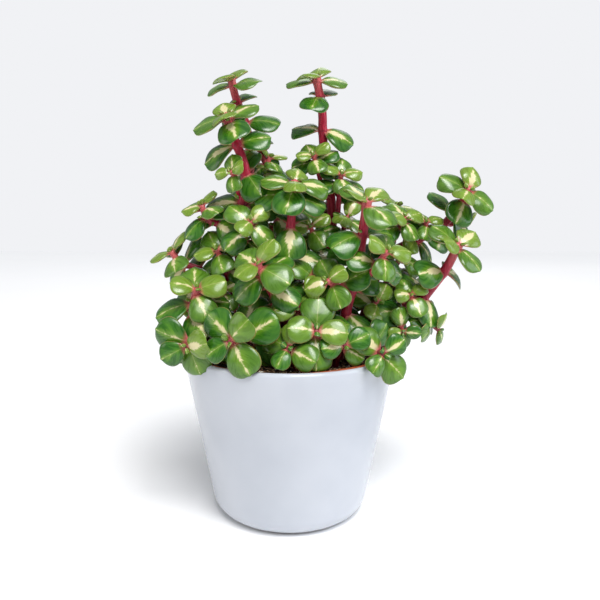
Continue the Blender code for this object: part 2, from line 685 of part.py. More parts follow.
def make_shoot(stem, leaves, collection, helpers, bark, skin):
    """A stem and its own leaves, grown together as one piece."""
    rod = place(stem.plan.name, rod_mesh(stem.plan.name, stem.line, stem.radii), collection, bark)
    rod.data.materials.append(skin)
    if leaves:
        mesh = bpy.data.meshes.new(f"{stem.plan.name}_leaves")
        joined = bmesh.new()
        for leaf in leaves:
            form = lens_form(leaf)
            form.to_mesh(mesh)
            form.free()
            joined.from_mesh(mesh)
        joined.to_mesh(mesh)
        joined.free()
        foliage = place(mesh.name, mesh, helpers, skin)
        hide_helper(foliage)
        combine(rod, foliage, "UNION")
    return rod


def main():
    clear_scene()
    pieces = new_collection("potted_elephant_bush")
    helpers = new_collection("cutters_and_helpers")
    grown = {}
    for plan in SHOOTS:
        grown[plan.name] = grow_stem(plan, grown)
    stems = list(grown.values())
    rods = {stem.plan.name: rod_form(stem) for stem in stems}
    leaves = grow_leaves(stems, rods)
    for form in rods.values():
        form.free()
    make_cachepot(pieces)
    make_nursery_pot(pieces, helpers)
    make_soil(pieces, helpers, stems)
    bark = new_material("red_stem", "9E2340", 0.4)
    skin = new_material("green_leaf", "5E9A3A", 0.3)
    for stem in stems:
        make_shoot(stem, leaves[stem.plan.name], pieces, helpers, bark, skin)


main()
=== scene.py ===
"""The looks of a potted elephant bush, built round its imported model: a glazed cachepot, the
plastic nursery pot and the potting mix inside it, and the variegated plant itself.

Lengths are in metres and the frame is the model's: +Z up, -Y the front, origin at the foot.
"""

import json
import math
import random
from collections import namedtuple

import bmesh
import bpy
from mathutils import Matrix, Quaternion, Vector, noise
from mathutils.bvhtree import BVHTree

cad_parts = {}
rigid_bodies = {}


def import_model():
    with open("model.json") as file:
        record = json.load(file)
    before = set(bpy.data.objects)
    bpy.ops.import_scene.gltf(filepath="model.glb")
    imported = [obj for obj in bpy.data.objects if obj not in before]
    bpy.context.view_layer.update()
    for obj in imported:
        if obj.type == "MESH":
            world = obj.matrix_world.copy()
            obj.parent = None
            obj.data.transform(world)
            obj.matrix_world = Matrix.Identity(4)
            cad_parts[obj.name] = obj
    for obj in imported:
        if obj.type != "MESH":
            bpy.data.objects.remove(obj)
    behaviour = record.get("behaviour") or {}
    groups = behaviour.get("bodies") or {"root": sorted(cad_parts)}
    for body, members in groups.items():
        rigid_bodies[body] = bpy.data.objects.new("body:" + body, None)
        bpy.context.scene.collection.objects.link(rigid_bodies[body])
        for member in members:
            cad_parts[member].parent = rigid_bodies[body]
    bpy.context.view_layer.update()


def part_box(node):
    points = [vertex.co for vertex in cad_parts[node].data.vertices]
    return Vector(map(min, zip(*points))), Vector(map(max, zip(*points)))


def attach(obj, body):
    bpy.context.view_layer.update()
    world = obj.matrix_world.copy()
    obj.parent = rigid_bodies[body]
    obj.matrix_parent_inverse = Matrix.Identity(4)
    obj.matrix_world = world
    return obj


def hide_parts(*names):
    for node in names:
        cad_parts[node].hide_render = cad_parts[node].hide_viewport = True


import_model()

# ================================================================ cachepot
# The outer pot: earthenware slip cast in one piece, dipped in a white glaze with a cool
# cast and fired. The glaze runs over the lip and thins there, and the foot ring is wiped
# bare so that the pot doesn't stick to the kiln shelf.

MM = 0.001
POT_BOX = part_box("cachepot")
POT_HEIGHT = POT_BOX[1][2]
POT_RIM_RADIUS = 65 * MM
POT_FOOT_RADIUS = 46 * MM  # where the line of the wall meets the ground
POT_WALL = 4.0 * MM
POT_FLOOR = 5.0 * MM
POT_FOOT_ROUNDING = 12 * MM
POT_INNER_ROUNDING = 6 * MM
FOOT_RING_WIDTH = 3.5 * MM
FOOT_RECESS = 0.9 * MM
POT_SLOPE = (POT_RIM_RADIUS - POT_FOOT_RADIUS) / POT_HEIGHT
POT_SLANT = math.hypot(1, POT_SLOPE)


def wall_radius(height, inset):
    """The radius of a cone that lies this far inside the cachepot's outer wall."""
    return POT_FOOT_RADIUS + POT_SLOPE * height - inset * POT_SLANT


def arc(centre, radius, start, end, steps):
    """Points (radius, height) on an arc, from one angle in degrees to the other."""
    points = []
    for i in range(steps + 1):
        angle = math.radians(start + (end - start) * i / steps)
        points.append((centre[0] + radius * math.cos(angle), centre[1] + radius * math.sin(angle)))
    return points


def rounded_foot(inset, base, rounding, steps):
    """The wall's bottom corner: points from the flat base up to the sloping wall."""
    slope = math.degrees(math.atan2(1, POT_SLOPE))
    centre = (
        wall_radius(base, inset) - rounding * math.tan(math.radians(slope) / 2),
        base + rounding,
    )
    return arc(centre, rounding, -90, slope - 90, steps)


def wall_line(inset, low, high, steps):
    """Points up a straight wall, between two heights."""
    heights = [low + (high - low) * i / steps for i in range(1, steps)]
    return [(wall_radius(height, inset), height) for height in heights]


def turned(name, profile, steps=144):
    """A piece of revolution. Its profile runs from the axis up the inside and down the outside."""
    mesh = bpy.data.meshes.new(name)
    points = [(radius, 0, height) for radius, height in profile]
    mesh.from_pydata(points, [(i, i + 1) for i in range(len(points) - 1)], [])
    piece = bpy.data.objects.new(name, mesh)
    bpy.context.scene.collection.objects.link(piece)
    screw = piece.modifiers.new("turn", "SCREW")
    screw.steps = steps
    screw.render_steps = steps
    screw.use_merge_vertices = True
    screw.merge_threshold = 0.01 * MM
    screw.use_smooth_shade = True
    return piece


def paint(code):
    """A linear colour from an sRGB hex code."""
    channels = [int(code[i : i + 2], 16) / 255 for i in (0, 2, 4)]
    linear = [c / 12.92 if c <= 0.04045 else ((c + 0.055) / 1.055) ** 2.4 for c in channels]
    return (*linear, 1)


def add(tree, kind, inputs=None, stops=None, **settings):
    """Adds a node. Each input is a value or a socket to link, and stops fill a colour ramp."""
    node = tree.nodes.new(kind)
    for name, value in settings.items():
        setattr(node, name, value)
    for name, value in (inputs or {}).items():
        if isinstance(value, bpy.types.NodeSocket):
            tree.links.new(value, node.inputs[name])
        else:
            node.inputs[name].default_value = value
    for i, (place, colour) in enumerate(stops or ()):
        ramp = node.color_ramp.elements
        stop = ramp[i] if i < len(ramp) else ramp.new(place)
        stop.position = place
        stop.color = colour
    return node


def new_finish(name, **settings):
    """A material with its Principled shader's own settings. Returns it, its tree and its shader."""
    material = bpy.data.materials.new(name)
    material.use_nodes = True
    shader = material.node_tree.nodes["Principled BSDF"]
    for socket, value in settings.items():
        shader.inputs[socket.replace("_", " ")].default_value = value
    return material, material.node_tree, shader


foot_angle = math.degrees(math.atan2(1, POT_SLOPE))
flat_foot = wall_radius(0, 0) - POT_FOOT_ROUNDING * math.tan(math.radians(foot_angle) / 2)
lip_radius = POT_WALL / 2
lip_height = POT_HEIGHT - lip_radius
lip_centre = (wall_radius(lip_height, lip_radius), lip_height)
pot_profile = [(0, POT_FLOOR), (20 * MM, POT_FLOOR)]
pot_profile += rounded_foot(POT_WALL, POT_FLOOR, POT_INNER_ROUNDING, 8)
pot_profile += wall_line(POT_WALL, 12 * MM, lip_height, 12)
pot_profile += arc(lip_centre, lip_radius, 180, 0, 14)
pot_profile += reversed(wall_line(0, POT_FOOT_ROUNDING, lip_height, 16))
pot_profile += reversed(rounded_foot(0, 0, POT_FOOT_ROUNDING, 12))
pot_profile += [
    (flat_foot - FOOT_RING_WIDTH, 0),
    (flat_foot - FOOT_RING_WIDTH - FOOT_RECESS, FOOT_RECESS),
    (0, FOOT_RECESS),
]
cachepot = turned("glazed_cachepot", pot_profile)

# Glazed earthenware. Glassy lead-free glaze: IOR 1.5, nearly smooth, with the slow
# ripple and faint change of tone of a coat that ran while molten, and a pinhole or two.
GLAZE_ROUGHNESS = 0.09
glaze, tree, shader = new_finish("white_glaze", Roughness=GLAZE_ROUGHNESS, IOR=1.5)
place_in_pot = add(tree, "ShaderNodeTexCoord").outputs["Object"]
GLAZE_FLOW = 45 * MM
GLAZE_RIPPLE = 14 * MM
PINHOLE_SPACING = 26 * MM
PINHOLE_SIZE = 0.28 * MM
flow = add(tree, "ShaderNodeTexNoise", {"Vector": place_in_pot, "Scale": 1 / GLAZE_FLOW, "Detail": 3})
tone = add(
    tree, "ShaderNodeValToRGB", {"Fac": flow.outputs["Fac"]},
    stops=[(0.30, paint("B9BEC7")), (0.70, paint("C5C9D1"))],
)
height_in_pot = add(tree, "ShaderNodeSeparateXYZ", {"Vector": place_in_pot}).outputs["Z"]
bare = add(
    tree, "ShaderNodeMapRange",
    {"Value": height_in_pot, "From Min": 0.5 * MM, "From Max": 0.9 * MM, "To Min": 1.0, "To Max": 0.0},
)
under_ring = add(
    tree, "ShaderNodeMix", {0: bare.outputs["Result"], 6: tone.outputs["Color"], 7: paint("D9CDBB")},
    data_type="RGBA",
)
pinholes = add(
    tree, "ShaderNodeTexVoronoi", {"Vector": place_in_pot, "Scale": 1 / PINHOLE_SPACING, "Randomness": 1.0}
)
in_pinhole = add(
    tree, "ShaderNodeMath", {0: pinholes.outputs["Distance"], 1: PINHOLE_SIZE / PINHOLE_SPACING},
    operation="LESS_THAN",
)
speckled = add(
    tree, "ShaderNodeMix", {0: in_pinhole.outputs[0], 6: under_ring.outputs[2], 7: paint("8A8078")},
    data_type="RGBA",
)
tree.links.new(speckled.outputs[2], shader.inputs["Base Color"])
dull_foot = add(
    tree, "ShaderNodeMapRange",
    {"Value": bare.outputs["Result"], "To Min": GLAZE_ROUGHNESS, "To Max": 0.8},
)
tree.links.new(dull_foot.outputs["Result"], shader.inputs["Roughness"])
ripple = add(tree, "ShaderNodeTexNoise", {"Vector": place_in_pot, "Scale": 1 / GLAZE_RIPPLE, "Detail": 1})
bump = add(tree, "ShaderNodeBump", {"Height": ripple.outputs["Fac"], "Strength": 0.25, "Distance": 0.12 * MM})
tree.links.new(bump.outputs["Normal"], shader.inputs["Normal"])
cachepot.data.materials.append(glaze)
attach(cachepot, "root")
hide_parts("cachepot")

# ================================================================ nursery pot
# The pot that the plant was raised in: rust-red polypropylene, injection moulded thin,
# with a rolled lip and drain holes. It stands loose in the cachepot.

GAP = 0.3 * MM
NURSERY_WALL = 1.2 * MM
NURSERY_CLEARANCE = 0.8 * MM
NURSERY_LIP_WIDTH = 2.4 * MM
NURSERY_LIP_HEIGHT = 4.0 * MM
NURSERY_FOOT_ROUNDING = POT_INNER_ROUNDING + 1 * MM
DRAIN_HOLE_RADIUS = 4.0 * MM
DRAIN_HOLE_CIRCLE = 24 * MM
DRAIN_HOLE_COUNT = 5
NURSERY_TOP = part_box("nursery_pot")[1][2]
NURSERY_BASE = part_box("nursery_pot")[0][2]
NURSERY_OUTSIDE = POT_WALL + NURSERY_CLEARANCE
NURSERY_INSIDE = NURSERY_OUTSIDE + NURSERY_WALL

lip_base = NURSERY_TOP - NURSERY_LIP_HEIGHT
lip_outside = wall_radius(NURSERY_TOP, NURSERY_OUTSIDE)
lip_edge = NURSERY_WALL / 2
inner_lip_centre = (lip_outside - NURSERY_LIP_WIDTH + lip_edge, NURSERY_TOP - lip_edge)
outer_lip_centre = (lip_outside - lip_edge, NURSERY_TOP - lip_edge)
nursery_profile = [(0, NURSERY_BASE + NURSERY_WALL), (14 * MM, NURSERY_BASE + NURSERY_WALL)]
nursery_profile += rounded_foot(
    NURSERY_INSIDE, NURSERY_BASE + NURSERY_WALL, NURSERY_FOOT_ROUNDING - NURSERY_WALL, 5
)
nursery_profile += wall_line(NURSERY_INSIDE, 15 * MM, lip_base, 8)
nursery_profile += [(wall_radius(lip_base, NURSERY_INSIDE), lip_base)]
nursery_profile += arc(inner_lip_centre, lip_edge, 180, 90, 4)
nursery_profile += arc(outer_lip_centre, lip_edge, 90, 0, 4)
nursery_profile += reversed(wall_line(NURSERY_OUTSIDE, 15 * MM, lip_base, 8))
nursery_profile += reversed(rounded_foot(NURSERY_OUTSIDE, NURSERY_BASE, NURSERY_FOOT_ROUNDING, 5))
nursery_profile += [(0, NURSERY_BASE)]
nursery_pot = turned("moulded_nursery_pot", nursery_profile, 96)
for i in range(DRAIN_HOLE_COUNT):
    angle = 2 * math.pi * i / DRAIN_HOLE_COUNT
    punch_mesh = bpy.data.meshes.new(f"punch_{i + 1}")
    punch_form = bmesh.new()
    bmesh.ops.create_cone(
        punch_form, cap_ends=True, segments=24,
        radius1=DRAIN_HOLE_RADIUS, radius2=DRAIN_HOLE_RADIUS, depth=4 * NURSERY_WALL,
    )
    hole_at = Vector((DRAIN_HOLE_CIRCLE * math.cos(angle), DRAIN_HOLE_CIRCLE * math.sin(angle), NURSERY_BASE))
    bmesh.ops.translate(punch_form, vec=hole_at, verts=punch_form.verts)
    punch_form.to_mesh(punch_mesh)
    punch_form.free()
    punch = bpy.data.objects.new(punch_mesh.name, punch_mesh)
    hole = nursery_pot.modifiers.new(punch.name, "BOOLEAN")
    hole.operation = "DIFFERENCE"
    hole.object = punch
    bpy.context.scene.collection.objects.link(punch)

bpy.context.view_layer.update()
holed = bpy.data.meshes.new_from_object(nursery_pot.evaluated_get(bpy.context.evaluated_depsgraph_get()))
nursery_pot.modifiers.clear()
nursery_pot.data = holed
for punch in [piece for piece in bpy.data.objects if piece.name.startswith("punch_")]:
    bpy.data.objects.remove(punch)

# Its thin lip has warped, and stands a little proud at the right of the front.
WARP_HEIGHT = 0.8 * MM
WARP_AT = math.radians(-52)
for vertex in holed.vertices:
    if vertex.co.z > lip_base:
        turn = math.atan2(vertex.co.y, vertex.co.x) - WARP_AT
        vertex.co.z += WARP_HEIGHT * max(math.cos(turn), 0) ** 8

# Polypropylene. Satin from the mould, IOR 1.49, dusted in patches with dried mix.
plastic, tree, shader = new_finish("rust_polypropylene", Roughness=0.48, IOR=1.49)
place_in_pot = add(tree, "ShaderNodeTexCoord").outputs["Object"]
DUST_PATCH = 7 * MM
MOULD_GRAIN = 0.5 * MM
dust = add(tree, "ShaderNodeTexNoise", {"Vector": place_in_pot, "Scale": 1 / DUST_PATCH, "Detail": 6})
dusted = add(
    tree, "ShaderNodeValToRGB", {"Fac": dust.outputs["Fac"]},
    stops=[(0.38, paint("B4552E")), (0.62, paint("A1502F")), (0.85, paint("6E4A33"))],
)
tree.links.new(dusted.outputs["Color"], shader.inputs["Base Color"])
grain = add(tree, "ShaderNodeTexNoise", {"Vector": place_in_pot, "Scale": 1 / MOULD_GRAIN, "Detail": 2})
bump = add(tree, "ShaderNodeBump", {"Height": grain.outputs["Fac"], "Strength": 0.3, "Distance": 0.05 * MM})
tree.links.new(bump.outputs["Normal"], shader.inputs["Normal"])
nursery_pot.data.materials.clear()
nursery_pot.data.materials.append(plastic)
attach(nursery_pot, "root")
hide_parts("nursery_pot")

# ================================================================ potting mix
# Dark peat and composted bark, filled to just under the lip and settled by watering into
# crumbs. Bark chips, white perlite and coir fibres lie loose on it.

SOIL_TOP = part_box("soil")[1][2]
SOIL_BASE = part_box("soil")[0][2]
SOIL_DOMING = 1.2 * MM
SOIL_OUTSIDE = NURSERY_INSIDE + GAP
SOIL_RINGS = 56
SOIL_SPOKES = 168
CRUMB = 2.2 * MM
CLOD = 9 * MM
soil_edge = wall_radius(SOIL_TOP, SOIL_OUTSIDE) - NURSERY_LIP_WIDTH


def soil_height(x, y):
    """The crumbly top of the mix: clods, crumbs and grit on a shallow dome."""
    share = min(math.hypot(x, y) / soil_edge, 1)
    clods = noise.noise(Vector((x / CLOD, y / CLOD, 1.7)))
    crumbs = noise.turbulence(Vector((x / CRUMB, y / CRUMB, 4.2)), 3, True)
    return SOIL_TOP - SOIL_DOMING * share**2 + (clods * 0.7 + crumbs * 1.1 - 0.6) * MM


soil_form = bmesh.new()
rings = []
for ring in range(1, SOIL_RINGS + 1):
    radius = soil_edge * ring / SOIL_RINGS
    row = []
    for spoke in range(SOIL_SPOKES):
        angle = 2 * math.pi * spoke / SOIL_SPOKES
        x = radius * math.cos(angle)
        y = radius * math.sin(angle)
        row.append(soil_form.verts.new((x, y, soil_height(x, y))))
    rings.append(row)
heel = SOIL_BASE + NURSERY_FOOT_ROUNDING
below_lip = lip_base - 1 * MM
for radius, height in (
    (wall_radius(below_lip, SOIL_OUTSIDE) - 1 * MM, below_lip),
    (wall_radius(heel, SOIL_OUTSIDE) - 1 * MM, heel),
    (wall_radius(SOIL_BASE, SOIL_OUTSIDE) - NURSERY_FOOT_ROUNDING, SOIL_BASE),
):
    angles = [2 * math.pi * spoke / SOIL_SPOKES for spoke in range(SOIL_SPOKES)]
    rings.append([soil_form.verts.new((radius * math.cos(a), radius * math.sin(a), height)) for a in angles])
for inner, outer in zip(rings, rings[1:]):
    for spoke in range(SOIL_SPOKES):
        after = (spoke + 1) % SOIL_SPOKES
        soil_form.faces.new((inner[spoke], outer[spoke], outer[after], inner[after]))
middle = soil_form.verts.new((0, 0, soil_height(0, 0)))
for spoke in range(SOIL_SPOKES):
    soil_form.faces.new((middle, rings[0][spoke], rings[0][(spoke + 1) % SOIL_SPOKES]))
soil_form.faces.new(list(reversed(rings[-1])))
bmesh.ops.recalc_face_normals(soil_form, faces=soil_form.faces)


def piece_of(name, form, material, smooth=True):
    """An object from a bmesh, in the scene and shaded."""
    mesh = bpy.data.meshes.new(name)
    form.to_mesh(mesh)
    form.free()
    mesh.materials.append(material)
    if smooth:
        mesh.shade_smooth()
    piece = bpy.data.objects.new(name, mesh)
    bpy.context.scene.collection.objects.link(piece)
    return piece


# Potting mix. Damp peat: dark, quite matt, with browner crumbs where it has dried.
mix, tree, shader = new_finish("peat_and_bark_mix", Roughness=0.92, IOR=1.4)
place_in_pot = add(tree, "ShaderNodeTexCoord").outputs["Object"]
GRIT = 0.7 * MM
crumbs = add(tree, "ShaderNodeTexVoronoi", {"Vector": place_in_pot, "Scale": 1 / GRIT})
crumb_tone = add(
    tree, "ShaderNodeValToRGB", {"Fac": crumbs.outputs["Color"]},
    stops=[(0.0, paint("150E0A")), (0.45, paint("2C1D14")), (0.8, paint("4A3324")), (0.95, paint("7A5C43"))],
)
tree.links.new(crumb_tone.outputs["Color"], shader.inputs["Base Color"])
bump = add(
    tree, "ShaderNodeBump", {"Height": crumbs.outputs["Distance"], "Strength": 0.8, "Distance": 0.4 * MM}
)
tree.links.new(bump.outputs["Normal"], shader.inputs["Normal"])
soil = piece_of("settled_potting_mix", soil_form, mix)
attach(soil, "root")
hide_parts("soil")


def scatter_chips(name, count, smallest, largest, flatness, material, at_lip=False):
    """Loose chips on the mix, or washed up at the front lip: rough blocks, squashed and turned."""
    chance = random.Random(name)
    form = bmesh.new()
    for _ in range(count):
        size = chance.uniform(smallest, largest) / 2
        reach = (soil_edge - 2 * size) * math.sqrt(chance.random())
        angle = chance.uniform(0, 2 * math.pi)
        lift = size * flatness * 0.3
        if at_lip:
            reach = soil_edge - size - chance.uniform(0, 4.5) * MM
            angle = math.radians(chance.uniform(-130, -50))
            lift += chance.uniform(0.2, 1.2) * MM
        x = reach * math.cos(angle)
        y = reach * math.sin(angle)
        made = bmesh.ops.create_icosphere(form, subdivisions=1, radius=size)["verts"]
        stretch = Vector((1, chance.uniform(0.45, 0.9), flatness * chance.uniform(0.7, 1.3)))
        turn = Quaternion((0, 0, 1), chance.uniform(0, 2 * math.pi))
        tilt = Quaternion((1, 0, 0), chance.uniform(-0.5, 0.5))
        for vertex in made:
            rough = Vector([part * chance.uniform(0.75, 1.2) for part in vertex.co])
            shaped = Vector([part * by for part, by in zip(rough, stretch)])
            vertex.co = turn @ (tilt @ shaped) + Vector((x, y, soil_height(x, y) + lift))
    chips = piece_of(name, form, material, smooth=False)
    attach(chips, "root")


# Composted bark: brown outside, tan where it broke, dry and matt.
bark_chip, tree, shader = new_finish("composted_bark", Roughness=0.85, IOR=1.45)
place_in_pot = add(tree, "ShaderNodeTexCoord").outputs["Object"]
CHIP_TONE = 1.6 * MM
chip_noise = add(tree, "ShaderNodeTexNoise", {"Vector": place_in_pot, "Scale": 1 / CHIP_TONE, "Detail": 4})
chip_tone = add(
    tree, "ShaderNodeValToRGB", {"Fac": chip_noise.outputs["Fac"]},
    stops=[(0.35, paint("3A2416")), (0.5, paint("6B4A30")), (0.62, paint("A98C66")), (0.72, paint("D8C6A4"))],
)
tree.links.new(chip_tone.outputs["Color"], shader.inputs["Base Color"])
scatter_chips("bark_chips", 620, 1.0 * MM, 3.4 * MM, 0.45, bark_chip)
scatter_chips("lip_bark_chips", 110, 0.8 * MM, 2.4 * MM, 0.6, bark_chip, at_lip=True)

# Perlite: glassy rock popped white by heat, chalky and full of pores.
perlite, tree, shader = new_finish("perlite", Roughness=0.7, IOR=1.5)
place_in_pot = add(tree, "ShaderNodeTexCoord").outputs["Object"]
PORE = 0.4 * MM
pores = add(tree, "ShaderNodeTexNoise", {"Vector": place_in_pot, "Scale": 1 / PORE, "Detail": 3})
pore_tone = add(
    tree, "ShaderNodeValToRGB", {"Fac": pores.outputs["Fac"]},
    stops=[(0.3, paint("A79B86")), (0.6, paint("E6E0D0"))],
)
tree.links.new(pore_tone.outputs["Color"], shader.inputs["Base Color"])
scatter_chips("perlite_grains", 150, 0.8 * MM, 1.9 * MM, 0.8, perlite)
scatter_chips("lip_perlite_grains", 60, 0.6 * MM, 1.6 * MM, 0.8, perlite, at_lip=True)

# Coir: coconut fibres a quarter of a millimetre thick, springy, so they arch over the crumbs.
coir, tree, shader = new_finish("coir_fibre", Roughness=0.6, IOR=1.5)
place_in_pot = add(tree, "ShaderNodeTexCoord").outputs["Object"]
FIBRE_TONE = 5 * MM
fibre_noise = add(tree, "ShaderNodeTexNoise", {"Vector": place_in_pot, "Scale": 1 / FIBRE_TONE})
fibre_tone = add(
    tree, "ShaderNodeValToRGB", {"Fac": fibre_noise.outputs["Fac"]},
    stops=[(0.4, paint("8A6A44")), (0.6, paint("CDB68C"))],
)
tree.links.new(fibre_tone.outputs["Color"], shader.inputs["Base Color"])
FIBRE_RADIUS = 0.12 * MM
FIBRE_COUNT = 90


def fibres_of(name, threads):
    """Thin fibres as one curve object, each thread a smooth line through its points."""
    curve = bpy.data.curves.new(name, "CURVE")
    curve.dimensions = "3D"
    curve.bevel_depth = FIBRE_RADIUS
    curve.bevel_resolution = 1
    curve.resolution_u = 4
    curve.use_fill_caps = True
    for thread in threads:
        spline = curve.splines.new("BEZIER")
        spline.bezier_points.add(len(thread) - 1)
        for knot, point in zip(spline.bezier_points, thread):
            knot.co = point
            knot.handle_left_type = "AUTO"
            knot.handle_right_type = "AUTO"
    curve.materials.append(coir)
    fibres = bpy.data.objects.new(name, curve)
    bpy.context.scene.collection.objects.link(fibres)
    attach(fibres, "root")


chance = random.Random("coir")
threads = []
for _ in range(FIBRE_COUNT):
    reach = (soil_edge - 8 * MM) * math.sqrt(chance.random())
    angle = chance.uniform(0, 2 * math.pi)
    start = Vector((reach * math.cos(angle), reach * math.sin(angle), 0))
    heading = chance.uniform(0, 2 * math.pi)
    step = chance.uniform(1.2, 3.4) * MM
    thread = []
    for _ in range(4):
        lift = chance.uniform(0.0, 1.4) * MM
        thread.append(Vector((start.x, start.y, soil_height(start.x, start.y) + lift)))
        heading += chance.uniform(-0.7, 0.7)
        start += Vector((math.cos(heading), math.sin(heading), 0)) * step
    threads.append(thread)
fibres_of("coir_fibres", threads)
# One long dry fibre stands up at the front, leaning on the leaves.
fibres_of("dry_root_thread", [[
    Vector((4, -52, 98)) * MM, Vector((2.5, -54, 102)) * MM, Vector((1, -55, 109)) * MM,
    Vector((1.5, -54, 115)) * MM, Vector((0.5, -53, 118)) * MM,
]])

# ================================================================ how the plant grows
# Several cuttings rooted together in one pot. Each shoot carries opposite pairs of leaves,
# each pair turned square to the one before, and leans its leaves to the light.
#
# A shoot starts at the soil, where its parent is None, or at a fraction of the way
# along its parent. Then come its radius at the base and at the tip, the turn of its
# first pair of leaves about the stem, in degrees, and the length of a full-grown
# leaf. Then how far below the tip each pair of leaves grows, and the route: points
# (right, back, up) from the middle of the soil. All lengths here are millimetres.
#
# Apart from the first point of each rooted stem, the routes are numbers that another
# program worked out, rounded to whole millimetres.

PLANTING_DEPTH = 12 * MM
LEAF_WIDTH = 0.90  # at its widest, of its length
LEAF_WIDENING = 0.80  # powers of the distance from the leaf's foot and from its tip
LEAF_NARROWING = 0.46
LEAF_MIDDLE = 0.56  # where it is thickest, of its length
LEAF_THICKNESS = 2.0 * MM
LEAF_ARCH = 0.10  # how far its tip bends back, of its length
LEAF_SEAT = 0.35  # how far out in the stem a leaf starts, of the stem's radius
LEAF_ROOM = GAP  # kept free all round a leaf
STALK_ROOM = 1.6 * MM  # beside its own stem, where a leaf may touch its shoot
SHORTEST_BLADE = 0.3  # of a leaf, that has to stand clear of its own stem
BARE_FOOT = 2.0 * MM  # of a shoot, with no leaves
RIM_MARGIN = 1.2 * MM  # between the leaves and the pot or the soil
LIGHT_REACH = 80 * MM  # how far out a leaf sits before it faces well outwards
LIGHT_REACH_ACROSS = 130 * MM  # the same, to the left or right
LIGHT_FROM_FRONT = 0.95
LIGHT_FROM_ABOVE = 0.6
SHOOT_SEAT = 1.12  # how far out a side shoot starts, in radii of its parent
SHOOT_RUN = 1.8  # how far it first grows straight out, in its own radii
LENS_SIDES = 8

Shoot = namedtuple("Shoot", "name parent start base_radius tip_radius turn leaf pairs route")

